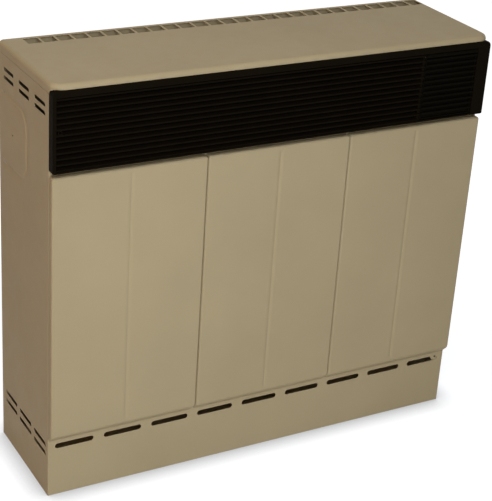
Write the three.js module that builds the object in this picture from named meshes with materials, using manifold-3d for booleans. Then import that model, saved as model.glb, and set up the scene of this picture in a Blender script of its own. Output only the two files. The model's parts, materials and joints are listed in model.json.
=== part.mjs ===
// Wall mounted gas heater with three front panels, a warm air grille and a lift-up control flap.
// Millimetres. +X is to the right, +Y goes into the wall, +Z is up. The heater's foot is at z = 0.
import * as THREE from 'three';
import { mergeVertices } from 'three/addons/utils/BufferGeometryUtils.js';
import Module from 'manifold-3d';

const wasm = await Module();
wasm.setup();

// ---- Overall sizes
const caseWidth = 720;
const caseHeight = 660;
const caseDepth = 193;
const grilleStandoff = 15;
const panelStandoff = 12;
const coverStandoff = 13;

// ---- Sheet and clearances
const sheet = 1.2;
const wallSheet = 1.5;
const fit = 0.3;
const runningGap = 0.5;
const overlap = 0.5;
const past = 1; // How far a cutter reaches past the surface that it cuts.

const sideX = caseWidth / 2;
const insideX = sideX - sheet - fit;
const wallY = (caseDepth + grilleStandoff) / 2;
const faceY = wallY - caseDepth;
const grilleY = faceY - grilleStandoff;
const panelY = faceY - panelStandoff;
const backY = wallY - wallSheet - fit;

// ---- Top cover
const coverHeight = 15;
const coverFrontHeight = 8;
const coverRoll = 7;
const coverCorner = 20;
const coverBottomZ = caseHeight - coverHeight;
const coverLipZ = caseHeight - coverFrontHeight;
const louvreCount = 28;
const louvreWidth = 20.8;
const louvreLength = 23.5;
const louvreLeftInset = 44.5;
const louvreRightInset = 16.7;
const louvreBackGap = 6;
const louvreFirstX = louvreLeftInset - sideX;
const louvrePitch = (caseWidth - louvreLeftInset - louvreRightInset) / (louvreCount - 1);

// ---- Side panels
const sideTopZ = coverBottomZ - fit;
const sideSlotPitch = 60.5;
const sideSlotFirst = 33;
const sideSlotCount = 3;
const upperSlotLength = 40;
const upperSlotHeight = 6;
const upperSlotDrops = [33.5, 21];
const lowerSlotLength = 50;
const lowerSlotHeight = 7;
const lowerSlotZ = [70.5, 86];
const knockoutDepth = 110;
const knockoutHeight = 109;
const knockoutDrop = 127;
const knockoutZ = caseHeight - knockoutDrop;
const knockoutCorner = 30;
const knockoutLine = 1.6;
const pressDepth = 0.6;
const dimpleRadius = 4;
const dimpleInset = 52;

// ---- Plinth
const plinthTopZ = 104;
const plinthReturn = 16;
const plinthSlotCount = 9;
const plinthSlotLength = 62;
const plinthSlotHeight = 8.6;
const plinthSlotInset = 42.6;
const plinthSlotPitch = (caseWidth - 2 * plinthSlotInset) / (plinthSlotCount - 1);
const plinthSlotZ = 86;
const leftBracketZ = 50;
const rightBracketZ = 88;
const bracketRise = plinthTopZ - sheet - fit - rightBracketZ;
const bracketReach = 31;
const bracketSlant = 18;
const bracketDrop = 14;
const bracketPinHoleRadius = 2.1;
const bracketPinHoleInset = 15.5;

// ---- Grille
const grilleHeight = 118.7;
const grilleCorner = 8;
const grilleLowerCorner = 2.5;
const grilleBevel = 1.2;
const grilleWall = 3;
const grilleSideBorder = 5;
const grilleTopBorder = 9.5;
const grilleBottomBorder = 2.6;
const openBottomWall = 2;
const grilleTopZ = coverLipZ - fit;
const grilleBottomZ = grilleTopZ - grilleHeight;
const openTopZ = grilleTopZ - grilleTopBorder;
const openBottomZ = grilleBottomZ + grilleBottomBorder;
const slatCount = 13;
const slatHeight = 3.2;
const slatDepth = 9;
const slatTilt = THREE.MathUtils.degToRad(18);
const slatSetback = 1.2;
const slatEndGap = 2.06;
const slatPitch = (openTopZ - openBottomZ - 2 * slatEndGap) / (slatCount - 1);
const ribCount = 3;
const ribThickness = 1.6;
const jambSetback = 3;
const grilleScrewInset = 11;
const grilleScrewX = sideX - grilleScrewInset;
const grilleScrewZ = (grilleTopZ + grilleBottomZ) / 2;
const screwBossRadius = 3.4;

// ---- Control flap
const flapWidth = 96;
const flapRightBorder = 23;
const jamb = 4;
const flapThickness = 8;
const flapPinRadius = 1.2;
const flapGrooveDepth = 3.4;
const flapEdge = 2.4;
const openRightX = sideX - flapRightBorder;
const openLeftX = openRightX - flapWidth;
const flapAxisY = grilleY + flapThickness / 2;
const flapAxisZ = openTopZ - runningGap - flapThickness / 2;

// ---- Front panels
const panelCount = 3;
const panelSeam = 0.8;
const panelLedge = 7;
const panelTopZ = grilleBottomZ - panelLedge;
const panelEdgeZ = 109;
const panelBottomZ = 97;
const panelCorner = 2.8;
const panelRoll = 2.4;
const grooveWidth = 2.6;
const grooveDepth = 0.8;
const grooveEndGap = 6;
const hookWidth = 20;
const hookSpread = 60;
const hookDrop = 18;
const hookLeg = 8;
const hookReach = 4;
const hookPlay = 1;

// ---- Front frame
const frameReturn = 14;
const frameTopZ = sideTopZ;
const frameMargin = 14;
const shieldWindowSideGap = 40;
const shieldWindowBottomGap = 46;
const shieldWindowTopGap = 38;
const shieldWindowX = sideX - shieldWindowSideGap;
const shieldWindowBottomZ = plinthTopZ + shieldWindowBottomGap;
const shieldWindowTopZ = panelTopZ - shieldWindowTopGap;
const frameBackY = faceY + sheet + fit;

// ---- Heat shield
const shieldDepth = 15;
const shieldOverlap = 6;

// ---- Base and back
const baseZ = 18;
const backFlange = 20;
const keyholeSpreadX = 250;
const keyholeLowZ = 330;
const keyholeDrop = 70;
const keyholeHighZ = caseHeight - keyholeDrop;
const keyholeRadius = 6;
const keyholeSlotRadius = 3;
const keyholeRise = 10;

// ---- Places of the controls behind the flap
const knobInset = 65;
const knobX = openRightX - knobInset;
const knobRise = 67;
const knobZ = grilleBottomZ + knobRise;
const feedPortOffset = 14;
const feedPortX = knobX - feedPortOffset;
const supplyPortOffset = 18;
const supplyPortX = knobX + supplyPortOffset;
const piezoInset = 19;
const piezoX = openRightX - piezoInset;
const piezoRise = 42;
const piezoZ = grilleBottomZ + piezoRise;

// ---- Heat exchanger
const injectorRoom = 43;
const exchangerX = feedPortX - injectorRoom;
const exchangerFrontGap = 47;
const exchangerFrontY = faceY + exchangerFrontGap;
const exchangerUpperGap = 74;
const exchangerUpperY = faceY + exchangerUpperGap;
const exchangerBackGap = 26;
const exchangerBackY = wallY - exchangerBackGap;
const exchangerBottomZ = 140;
const exchangerShoulderZ = 292;
const exchangerNeckZ = 325;
const exchangerTopGap = 11;
const exchangerTopZ = panelTopZ - exchangerTopGap;
const exchangerWall = 2;
const exchangerRibCount = 9;
const exchangerRibInset = 39;
const exchangerRibPitch = (2 * exchangerX - 2 * exchangerRibInset) / (exchangerRibCount - 1);
const exchangerRibWidth = 8;
const exchangerRibDepth = 4;
const exchangerRibEnd = 20;
const mountLegWidth = 26;
const mountHeight = 90;
const mountZ = 300;
const mountDepth = 60;

// ---- Air deflector: each fold is given by its distance behind the case face and below the grille opening
const deflectorFolds = [[13, 3.2], [77, 23.2], [147, 79.2]];
const deflectorFootRise = 12;
const deflectorFootDrop = 18;

// ---- Ducts to the wall
const flueWidth = 120;
const flueHeight = 70;
const flueDrop = 75;
const flueZ = exchangerTopZ - flueDrop;
const intakeWidth = 160;
const intakeHeight = 70;
const intakeRise = 95;
const intakeZ = exchangerBottomZ + intakeRise;
const ductWall = 1.5;
const ductFlange = 12;

// ---- Burner
const burnerSetback = 52;
const burnerY = exchangerFrontY + burnerSetback;
const burnerRise = 42;
const burnerZ = exchangerBottomZ + burnerRise;
const burnerRadius = 14;
const burnerWall = 1.5;
const burnerMouthGap = 19;
const burnerMouthX = exchangerX - burnerMouthGap;
const burnerNeckLength = 46;
const burnerBodyRightX = burnerMouthX - burnerNeckLength;
const burnerLeftGap = 30;
const burnerLeftX = burnerLeftGap - exchangerX;
const throatRadius = 9;
const throatTaper = 18;
const mouthRadius = 12;
const mouthTaper = 10;
const portCount = 12;
const portInset = 18;
const portWidth = 2.5;
const portPitch = (burnerBodyRightX - burnerLeftX - 2 * portInset - portWidth) / (portCount - 1);
const portLength = 14;
const saddleInset = 10;
const saddleX = burnerBodyRightX - saddleInset;
const saddleThickness = 2;
const saddleDepth = 40;
const injectorNoseRadius = 5;
const injectorGap = 2;
const injectorNoseX = burnerMouthX + injectorGap;
const injectorFlangeRadius = 12;
const injectorFlangeThickness = 4;
const feedNutRadius = 8;
const injectorReach = 18;
const injectorEndX = exchangerX + injectorReach;

// ---- Access door, gasket, sight glass
const doorX = 150;
const doorBottomGap = 8;
const doorBottomZ = exchangerBottomZ + doorBottomGap;
const doorTopGap = 12;
const doorTopZ = exchangerShoulderZ - doorTopGap;
const doorMargin = 18;
const doorBottomMargin = 14;
const doorThickness = 2;
const gasketThickness = 2;
const gasketY = exchangerFrontY - fit - gasketThickness;
const doorY = gasketY - fit - doorThickness;
const doorHoleX = doorX - doorMargin;
const doorHoleBottomZ = doorBottomZ + doorBottomMargin;
const doorHoleTopZ = doorTopZ - doorMargin;
const sightX = -60;
const sightRise = 43;
const sightZ = burnerZ + sightRise;
const sightRadius = 20;
const glassThickness = 3;
const ringRadius = 26;
const ringLip = 2;
const ringThickness = 5;
const doorScrewInset = 8;

// ---- Pilot group
const pilotSetback = 30;
const pilotY = exchangerFrontY + pilotSetback;
const pilotFirstX = 70;
const pilotPitch = 12;
const pilotPlateRise = 14;
const pilotPlateZ = burnerZ + pilotPlateRise;
const pilotPlateThickness = 1.5;
const pilotPlateMargin = 10;
const pilotLegHeight = 14;
const pilotTopRise = 30;
const pilotTopZ = burnerZ + pilotTopRise;
const pilotFootRise = 2;
const pilotFootZ = burnerZ + pilotFootRise;
const pilotCollar = 1.6;
const pilotCollarHeight = 3;
const pilotRadius = 4.5;
const pilotTipRadius = 3;
const probeRadius = 2;
const probeTipRadius = 1.5;
const probeRise = 6;
const probeTopZ = pilotTopZ + probeRise;
const electrodeRadius = 3.2;
const sparkTipRadius = 1;
const sparkRise = 4;
const sparkTopZ = pilotTopZ + sparkRise;

// ---- Fasteners
const screwRadius = 1.7;
const screwHeadRadius = 3;
const screwHeadHeight = 1.8;
const screwHoleRadius = 2.1;
const screwLength = 7;

// ---- Controls
const plateSetback = 29;
const plateY = faceY + plateSetback;
const plateThickness = sheet;
const plateSideGap = 2;
const plateLeftX = openLeftX - jamb + plateSideGap;
const plateRightX = openRightX + jamb - plateSideGap;
const plateBottomGap = 1;
const plateBottomZ = openBottomZ - plateBottomGap;
const plateTopGap = 4;
const plateTopZ = openTopZ + plateTopGap;
const bracketScrewInset = 16;
const bracketScrewZ = (panelTopZ + grilleBottomZ) / 2;
const bracketScrewXs = [plateLeftX + bracketScrewInset, plateRightX - bracketScrewInset];
const valveWidth = 60;
const valveHeight = 60;
const valveShift = 3;
const valveNeckLength = 15;
const valveFrontY = plateY + valveNeckLength;
const valveDepth = 60;
const valveNeckWidth = 58;
const valveNeckHeight = 24;
const valveScrewSpread = 24;
const valveScrewXs = [knobX - valveScrewSpread, knobX + valveScrewSpread];
const portNutRadius = 7;
const portNutHeight = 8;
const valvePortZ = knobZ - valveHeight / 2 - portNutHeight - fit;
const frontPortSetback = 15;
const frontPortY = valveFrontY + frontPortSetback;
const rearPortY = burnerY;
const knobRadius = 20;
const knobSkirt = 7;
const knobHeight = 20;
const knobGripWidth = 9;
const knobGripInset = 2;
const knobBoreEnd = 5;
const knobBackGap = 5.5;
const knobPress = 4;
const knobMark = 1.4;
const knobMarkDepth = 0.6;
const knobBackY = plateY - plateThickness - knobBackGap;
const knobFrontY = knobBackY - knobHeight;
const spindleRadius = 4;
const spindleFlat = 1;
const spindleSink = 6;
const spindleFrontY = knobFrontY + spindleSink;
const sleeveRadius = 7;
const sleeveHoleGap = 0.4;
const sleeveSink = 5;
const sleeveBackY = valveFrontY + sleeveSink;
const sleeveEndGap = 2;
const piezoRadius = 9;
const piezoBarrel = 38;
const piezoBackY = plateY + piezoBarrel;
const piezoNeckRadius = 6;
const piezoNeckReach = 5;
const piezoNeckFrontY = plateY - plateThickness - piezoNeckReach;
const piezoButtonRadius = 4.2;
const piezoButtonReach = 13;
const piezoButtonRoot = 12;
const piezoButtonLength = piezoButtonReach + piezoButtonRoot;
const piezoStroke = 6;
const locknutRadius = 9;
const locknutThickness = 2.5;

// ---- Pipes and leads
const pipeBend = 12;
const leadBend = 6;
const bendSteps = 4;
const supplyRadius = 5;
const feedRadius = 4;
const pilotPipeRadius = 2;
const thermocoupleRadius = 1.3;
const ignitionRadius = 2.5;
const ignitionLoop = 14;
const capillaryRadius = 1.1;
const leadDrop = 12;
const leadZ = burnerZ - leadDrop;
const leadSetback = 23;
const leadFirstY = faceY + leadSetback;
const leadPitchY = 7;
const leadJogDrop = 85;
const leadJogZ = knobZ - leadJogDrop;
const inletZ = 45;
const unionRadius = 11;
const unionHexRadius = 15;
const unionHexLength = 12;
const unionHexInset = 8;
const unionLength = 44;
const unionFrontY = wallY - unionLength;
const unionBore = 20;
const bulbRadius = 3.6;
const bulbLength = 70;
const bulbOffset = 13;
const bulbX = knobX + bulbOffset;
const bulbSetback = 29;
const bulbY = faceY + bulbSetback;
const bulbZ = 42;
const bulbRightX = bulbX + bulbLength / 2;
const bulbSink = 2;
const capillaryInset = 12;
const capillaryX = sideX - capillaryInset;
const capillaryRise = 2;
const capillaryZ = knobZ + capillaryRise;
const clipWidth = 6;
const clipDepth = 12;
const clipCrown = 3;

// ---- Materials
const beige = new THREE.MeshStandardMaterial({ color: 0xa89a7f, roughness: 0.5, metalness: 0.0 });
const black = new THREE.MeshStandardMaterial({ color: 0x141310, roughness: 0.45, metalness: 0.0 });
const zinc = new THREE.MeshStandardMaterial({ color: 0xa9adb0, roughness: 0.4, metalness: 0.9 });
const aluminised = new THREE.MeshStandardMaterial({ color: 0x9a9a96, roughness: 0.5, metalness: 0.8 });
const primer = new THREE.MeshStandardMaterial({ color: 0xbb9d73, roughness: 0.6, metalness: 0.0 });
const enamel = new THREE.MeshStandardMaterial({ color: 0x3d332b, roughness: 0.6, metalness: 0.2 });
const brass = new THREE.MeshStandardMaterial({ color: 0xb08d4a, roughness: 0.35, metalness: 0.9 });
const copper = new THREE.MeshStandardMaterial({ color: 0xb0693f, roughness: 0.35, metalness: 0.9 });
const rubber = new THREE.MeshStandardMaterial({ color: 0x2a2a2a, roughness: 0.8, metalness: 0.0 });
const fibre = new THREE.MeshStandardMaterial({ color: 0xc9c5b8, roughness: 0.9, metalness: 0.0 });
const glass = new THREE.MeshStandardMaterial({ color: 0x8a7a58, roughness: 0.1, metalness: 0.0 });
const ceramic = new THREE.MeshStandardMaterial({ color: 0xe8e4da, roughness: 0.5, metalness: 0.0 });

// ---- Solids

// A closed manifold from a three.js geometry, without its empty triangles.
function solid(geometry) {
  const bare = geometry.clone();
  bare.deleteAttribute('normal');
  bare.deleteAttribute('uv');
  const merged = mergeVertices(bare, 1e-4);
  const index = merged.index.array;
  const kept = [];
  for (let i = 0; i < index.length; i += 3) {
    const [a, b, c] = [index[i], index[i + 1], index[i + 2]];
    if (a !== b && b !== c && c !== a) kept.push(a, b, c);
  }
  return new wasm.Manifold(new wasm.Mesh({
    numProp: 3,
    vertProperties: new Float32Array(merged.attributes.position.array),
    triVerts: new Uint32Array(kept),
  }));
}

function named(name, manifold, material) {
  const result = manifold.getMesh();
  const geometry = new THREE.BufferGeometry();
  geometry.setAttribute('position', new THREE.BufferAttribute(result.vertProperties, 3));
  geometry.setIndex(new THREE.BufferAttribute(result.triVerts, 1));
  geometry.computeVertexNormals();
  const mesh = new THREE.Mesh(geometry, material);
  mesh.name = name;
  return mesh;
}

// A box between two corners, given in any order on each axis.
function block(x0, x1, y0, y1, z0, z1) {
  const geometry = new THREE.BoxGeometry(Math.abs(x1 - x0), Math.abs(y1 - y0), Math.abs(z1 - z0));
  geometry.translate((x0 + x1) / 2, (y0 + y1) / 2, (z0 + z1) / 2);
  return solid(geometry);
}

function addAll(solids) {
  return solids.reduce((sum, next) => sum.add(next));
}

function cutAll(body, cutters) {
  return cutters.reduce((left, next) => left.subtract(next), body);
}

function roundedOutline(u0, u1, v0, v1, radius, lower = radius) {
  const shape = new THREE.Shape();
  shape.moveTo(u0 + lower, v0);
  shape.lineTo(u1 - lower, v0);
  shape.absarc(u1 - lower, v0 + lower, lower, -Math.PI / 2, 0, false);
  shape.lineTo(u1, v1 - radius);
  shape.absarc(u1 - radius, v1 - radius, radius, 0, Math.PI / 2, false);
  shape.lineTo(u0 + radius, v1);
  shape.absarc(u0 + radius, v1 - radius, radius, Math.PI / 2, Math.PI, false);
  shape.lineTo(u0, v0 + lower);
  shape.absarc(u0 + lower, v0 + lower, lower, Math.PI, 1.5 * Math.PI, false);
  return shape;
}

// An outline drawn in X and Z, pushed along Y from y0 to y1. The edge at y0 can be rounded.
function frontExtrusion(shape, y0, y1, edge = 0, curveSegments = 2) {
  const options = { depth: y1 - y0 - 2 * edge, bevelEnabled: edge > 0, curveSegments };
  Object.assign(options, { bevelThickness: edge, bevelSize: edge, bevelOffset: -edge, bevelSegments: 3 });
  const geometry = new THREE.ExtrudeGeometry(shape, options);
  geometry.rotateX(Math.PI / 2);
  geometry.translate(0, y1 - edge, 0);
  return solid(geometry);
}

// An outline drawn in Y and Z, pushed along X from x0 to x1.
function sideExtrusion(shape, x0, x1, curveSegments = 2) {
  const geometry = new THREE.ExtrudeGeometry(shape, { depth: x1 - x0, bevelEnabled: false, curveSegments });
  geometry.rotateX(Math.PI / 2);
  geometry.rotateZ(Math.PI / 2);
  geometry.translate(x0, 0, 0);
  return solid(geometry);
}

function outline(points) {
  return new THREE.Shape(points.map(([u, v]) => new THREE.Vector2(u, v)));
}

// Three ways to turn a shape that is made along +Y.
const alongX = (geometry) => geometry.rotateZ(-Math.PI / 2);
const alongY = (geometry) => geometry;
const alongZ = (geometry) => geometry.rotateX(Math.PI / 2);

// A round bar with its centre line through (x, y, z), turned by one of the three functions above.
function bar(turn, radius, length, x, y, z, sides = 16) {
  const geometry = turn(new THREE.CylinderGeometry(radius, radius, length, sides));
  geometry.translate(x, y, z);
  return solid(geometry);
}

// A turned part: each profile point is a radius and a distance along the axis.
function turned(turn, profile, x, y, z, sides = 16) {
  const points = profile.map(([radius, along]) => new THREE.Vector2(radius, along));
  const geometry = turn(new THREE.LatheGeometry(points, sides));
  geometry.translate(x, y, z);
  return solid(geometry);
}

// A rounded slot cut: its long side is horizontal, its middle is at (u, v).
function slotOutline(u, v, length, height) {
  return roundedOutline(u - length / 2, u + length / 2, v - height / 2, v + height / 2, height / 2 - 0.01);
}

// A route through corner points with a round bend at each corner.
class PipeRoute extends THREE.Curve {
  constructor(corners, bend) {
    super();
    const stops = corners.map(([x, y, z]) => new THREE.Vector3(x, y, z));
    this.stops = [stops[0]];
    for (let i = 1; i < stops.length - 1; i += 1) this.addBend(stops[i - 1], stops[i], stops[i + 1], bend);
    this.stops.push(stops.at(-1));
  }

  addBend(before, corner, after, bend) {
    const start = corner.clone().add(before.clone().sub(corner).setLength(bend));
    const end = corner.clone().add(after.clone().sub(corner).setLength(bend));
    const arc = new THREE.QuadraticBezierCurve3(start, corner, end);
    this.stops.push(...arc.getPoints(bendSteps));
  }

  getPoint(t) {
    return this.stops[Math.round(t * (this.stops.length - 1))].clone();
  }

  getPointAt(t) {
    return this.getPoint(t);
  }

  getTangentAt(t) {
    const last = this.stops.length - 1;
    const here = Math.round(t * last);
    const ahead = this.stops[Math.min(here + 1, last)];
    const behind = this.stops[Math.max(here - 1, 0)];
    return ahead.clone().sub(behind).normalize();
  }
}

function pipe(corners, radius, bendRadius, sides = 8) {
  const route = new PipeRoute(corners, bendRadius);
  const section = new THREE.Shape();
  section.absarc(0, 0, radius, 0, 2 * Math.PI, false);
  const options = { steps: route.stops.length - 1, curveSegments: sides / 2, extrudePath: route };
  return solid(new THREE.ExtrudeGeometry(section, options));
}

// A sheet bent along a line of (y, z) points.
function bentSheet(points, x0, x1, thickness) {
  const line = points.map(([y, z]) => new THREE.Vector2(y, z));
  const other = line.map((point, i) => {
    const ahead = line[Math.min(i + 1, line.length - 1)];
    const behind = line[Math.max(i - 1, 0)];
    const along = ahead.clone().sub(behind).normalize();
    return new THREE.Vector2(point.x - along.y * thickness, point.y + along.x * thickness);
  });
  return sideExtrusion(new THREE.Shape([...line, ...other.reverse()]), x0, x1);
}

// ---- Casing

function coverSlab(inset) {
  const x = sideX - inset;
  const y = faceY - coverStandoff + inset;
  const shape = roundedOutline(-x, x, y, wallY + coverCorner, coverCorner - inset);
  const roll = coverRoll - inset;
  const depth = 2 * coverHeight;
  const geometry = new THREE.ExtrudeGeometry(shape, {
    depth, bevelEnabled: true, bevelThickness: roll, bevelSize: roll, bevelOffset: -roll,
    bevelSegments: 3, curveSegments: 3,
  });
  geometry.translate(0, 0, caseHeight - inset - roll - depth);
  const keep = block(-caseWidth, caseWidth, -caseDepth, wallY - inset, coverBottomZ - inset,
    caseHeight + past);
  return solid(geometry).intersect(keep);
}

function topCover() {
  const shell = coverSlab(0).subtract(coverSlab(sheet));
  const lip = block(-caseWidth, caseWidth, -caseDepth, faceY, coverBottomZ - past, coverLipZ);
  const openings = [];
  const y1 = wallY - louvreBackGap;
  for (let i = 0; i < louvreCount; i += 1) {
    const x = louvreFirstX + i * louvrePitch;
    openings.push(block(x - louvreWidth / 2, x + louvreWidth / 2, y1 - louvreLength, y1,
      caseHeight - 2 * sheet, caseHeight + past));
  }
  return named('top_cover', cutAll(shell, [lip, ...openings]), beige);
}

function sidePanel(name, side) {
  const panel = block(side * (sideX - sheet), side * sideX, faceY, wallY, 0, sideTopZ);
  const cutters = [];
  const x0 = Math.min(side * (sideX - 2 * sheet), side * (sideX + sheet));
  const x1 = x0 + 3 * sheet;
  for (let i = 0; i < sideSlotCount; i += 1) {
    const y = faceY + sideSlotFirst + i * sideSlotPitch;
    for (const drop of upperSlotDrops) {
      const shape = slotOutline(y, coverBottomZ - drop, upperSlotLength, upperSlotHeight);
      cutters.push(sideExtrusion(shape, x0, x1));
    }
    for (const z of lowerSlotZ) {
      cutters.push(sideExtrusion(slotOutline(y, z, lowerSlotLength, lowerSlotHeight), x0, x1));
    }
  }
  const pressX = side * (sideX - pressDepth);
  const skinX0 = Math.min(pressX, pressX + side * sheet);
  const skinX1 = skinX0 + sheet;
  const outer = sideExtrusion(knockoutShape(0), skinX0, skinX1, 4);
  const inner = sideExtrusion(knockoutShape(knockoutLine), skinX0 - past, skinX1 + past, 4);
  cutters.push(outer.subtract(inner));
  cutters.push(bar(alongX, dimpleRadius, sheet, (skinX0 + skinX1) / 2, wallY - dimpleInset, knockoutZ));
  return named(name, cutAll(panel, cutters), beige);
}

function knockoutShape(inset) {
  const y0 = wallY - knockoutDepth + inset;
  const z0 = knockoutZ - knockoutHeight / 2 + inset;
  const z1 = knockoutZ + knockoutHeight / 2 - inset;
  return roundedOutline(y0, wallY + 2 * knockoutCorner, z0, z1, knockoutCorner - inset);
}

function plinthFront() {
  const returnX = insideX - sheet;
  const back = faceY + plinthReturn;
  const body = addAll([
    block(-insideX, insideX, faceY, faceY + sheet, 0, plinthTopZ),
    block(-insideX, -returnX, faceY, back, 0, plinthTopZ),
    block(returnX, insideX, faceY, back, 0, plinthTopZ),
    block(-insideX, insideX, faceY, back, 0, sheet),
    block(-insideX, insideX, faceY, back, plinthTopZ - sheet, plinthTopZ),
  ]);
  const slots = [];
  for (let i = 0; i < plinthSlotCount; i += 1) {
    const x = plinthSlotInset - sideX + i * plinthSlotPitch;
    const shape = slotOutline(x, plinthSlotZ, plinthSlotLength, plinthSlotHeight);
    slots.push(frontExtrusion(shape, faceY - past, faceY + sheet + past));
  }
  const holeY = faceY + plinthReturn / 2;
  for (const side of [-1, 1]) {
    slots.push(bar(alongX, screwHoleRadius, 4 * sheet, side * insideX, holeY, bracketZ(side)));
  }
  return named('plinth_front', cutAll(body, slots), beige);
}

function panelProfile(inset) {
  const back = faceY - fit;
  const front = panelY + inset;
  return outline([
    [back + inset, panelBottomZ + inset],
    [front, panelEdgeZ + inset],
    [front, panelTopZ - inset],
    [back + inset, panelTopZ - inset],
  ]);
}

function frontPanel(name, number) {
  const width = caseWidth / panelCount;
  const middle = (number - (panelCount - 1) / 2) * width;
  const half = (width - panelSeam) / 2;
  const face = roundedOutline(middle - half, middle + half, panelBottomZ, panelTopZ, panelCorner);
  const outer = frontExtrusion(face, panelY, faceY + 2 * panelRoll, panelRoll);
  const shell = outer.intersect(sideExtrusion(panelProfile(0), middle - half, middle + half));
  const inner = sideExtrusion(panelProfile(sheet), middle - half + sheet, middle + half - sheet);
  const edge = grooveWidth / 2;
  const groove = new THREE.ExtrudeGeometry(
    outline([[middle - edge, panelY - past], [middle + edge, panelY - past],
      [middle, panelY + grooveDepth]]),
    { depth: panelTopZ - panelEdgeZ - 2 * grooveEndGap, bevelEnabled: false });
  groove.translate(0, 0, panelEdgeZ + grooveEndGap);
  const body = shell.subtract(inner).subtract(solid(groove));
  const hooks = [-1, 1].map((side) => panelHook(middle + side * hookSpread));
  return named(name, addAll([body, ...hooks]), beige);
}

function panelHook(x) {
  const z = panelTopZ - hookDrop;
  const reach = frameBackY + hookReach;
  const arm = block(x - hookWidth / 2, x + hookWidth / 2, panelY + sheet - overlap, reach, z - sheet, z);
  const leg = block(x - hookWidth / 2, x + hookWidth / 2, reach - sheet, reach, z - hookLeg, z);
  return arm.add(leg);
}

function frontFrame() {
  const bottomZ = plinthTopZ + fit;
  const back = faceY + frameReturn;
  const returnX = insideX - sheet;
  const body = addAll([
    block(-insideX, insideX, faceY, faceY + sheet, bottomZ, frameTopZ),
    block(-insideX, -returnX, faceY, back, bottomZ, frameTopZ),
    block(returnX, insideX, faceY, back, bottomZ, frameTopZ),
    block(-insideX, insideX, faceY, back, frameTopZ - sheet, frameTopZ),
  ]);
  const windowX = insideX - frameMargin;
  const cutters = [
    block(-windowX, windowX, faceY - past, faceY + 2 * sheet, openBottomZ + frameMargin / 2, openTopZ),
    block(-shieldWindowX, shieldWindowX, faceY - past, faceY + 2 * sheet, shieldWindowBottomZ,
      shieldWindowTopZ),
  ];
  const width = caseWidth / panelCount;
  for (let i = 0; i < panelCount; i += 1) {
    const middle = (i - (panelCount - 1) / 2) * width;
    for (const side of [-1, 1]) cutters.push(hookSlot(middle + side * hookSpread));
  }
  for (const x of [-1, 1]) {
    cutters.push(bar(alongY, screwHoleRadius, 4 * sheet, x * grilleScrewX, faceY, grilleScrewZ));
  }
  for (const x of bracketScrewXs) {
    cutters.push(bar(alongY, screwHoleRadius, 4 * sheet, x, faceY, bracketScrewZ));
  }
  return named('front_frame', cutAll(body, cutters), beige);
}

function hookSlot(x) {
  const z = panelTopZ - hookDrop;
  const half = hookWidth / 2 + hookPlay;
  return block(x - half, x + half, faceY - past, faceY + 2 * sheet, z - sheet - hookPlay, z + hookPlay);
}

function heatShield() {
  const x = shieldWindowX + shieldOverlap;
  const z0 = shieldWindowBottomZ - shieldOverlap;
  const z1 = shieldWindowTopZ + shieldOverlap;
  const back = frameBackY + shieldDepth;
  const outer = block(-x, x, frameBackY, back, z0, z1);
  const inner = block(-x + sheet, x - sheet, frameBackY - past, back - sheet, z0 + sheet, z1 - sheet);
  return named('heat_shield', outer.subtract(inner), aluminised);
}

function baseTray() {
  const front = faceY + sheet + fit + plinthReturn;
  const back = backY - backFlange;
  const top = baseZ + sheet;
  const body = addAll([
    block(-insideX + fit, insideX - fit, front, back, baseZ, top),
    block(-insideX + fit, insideX - fit, front, front + sheet, 0, top),
    block(-insideX + fit, insideX - fit, back - sheet, back, 0, top),
  ]);
  const hole = bar(alongZ, screwHoleRadius, 4 * sheet, bulbX, bulbY, baseZ);
  return named('base_tray', body.subtract(hole), primer);
}

function backPlate() {
  const front = wallY - backFlange;
  const top = coverBottomZ - fit;
  const body = addAll([
    block(-insideX, insideX, wallY - wallSheet, wallY, 0, top),
    block(-insideX, -insideX + wallSheet, front, wallY, 0, top),
    block(insideX - wallSheet, insideX, front, wallY, 0, top),
    block(-insideX, insideX, front, wallY, top - wallSheet, top),
    block(-insideX, insideX, front, wallY, 0, wallSheet),
  ]);
  const y0 = wallY - 2 * wallSheet;
  const y1 = wallY + past;
  const cutters = [
    ductHole(flueWidth, flueHeight, flueZ, y0, y1),
    ductHole(intakeWidth, intakeHeight, intakeZ, y0, y1),
    bar(alongY, unionRadius + fit, 6 * wallSheet, supplyPortX, wallY, inletZ, 24),
  ];
  for (const x of [-keyholeSpreadX, keyholeSpreadX]) {
    for (const z of [keyholeLowZ, keyholeHighZ]) cutters.push(keyhole(x, z));
  }
  return named('back_plate', cutAll(body, cutters), aluminised);
}

function ductHole(width, height, z, y0, y1) {
  const x = width / 2 + fit;
  const half = height / 2 + fit;
  return block(-x, x, y0, y1, z - half, z + half);
}

function keyhole(x, z) {
  const depth = 6 * wallSheet;
  const y = wallY;
  return addAll([
    bar(alongY, keyholeRadius, depth, x, y, z),
    bar(alongY, keyholeSlotRadius, depth, x, y, z + keyholeRise),
    block(x - keyholeSlotRadius, x + keyholeSlotRadius, y - depth / 2, y + depth / 2, z, z + keyholeRise),
  ]);
}

function airDeflector() {
  const rear = backY - sheet;
  const folds = deflectorFolds.map(([back, drop]) => [faceY + back, openTopZ - drop]);
  const points = [
    ...folds, [rear, exchangerTopZ + deflectorFootRise], [rear, exchangerTopZ - deflectorFootDrop],
  ];
  const body = bentSheet(points, -insideX + backFlange, openLeftX - 2 * jamb, sheet);
  return named('air_deflector', body, aluminised);
}

// ---- Grille and control flap

function slatZ(number) {
  return openTopZ - slatEndGap - number * slatPitch;
}

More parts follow.
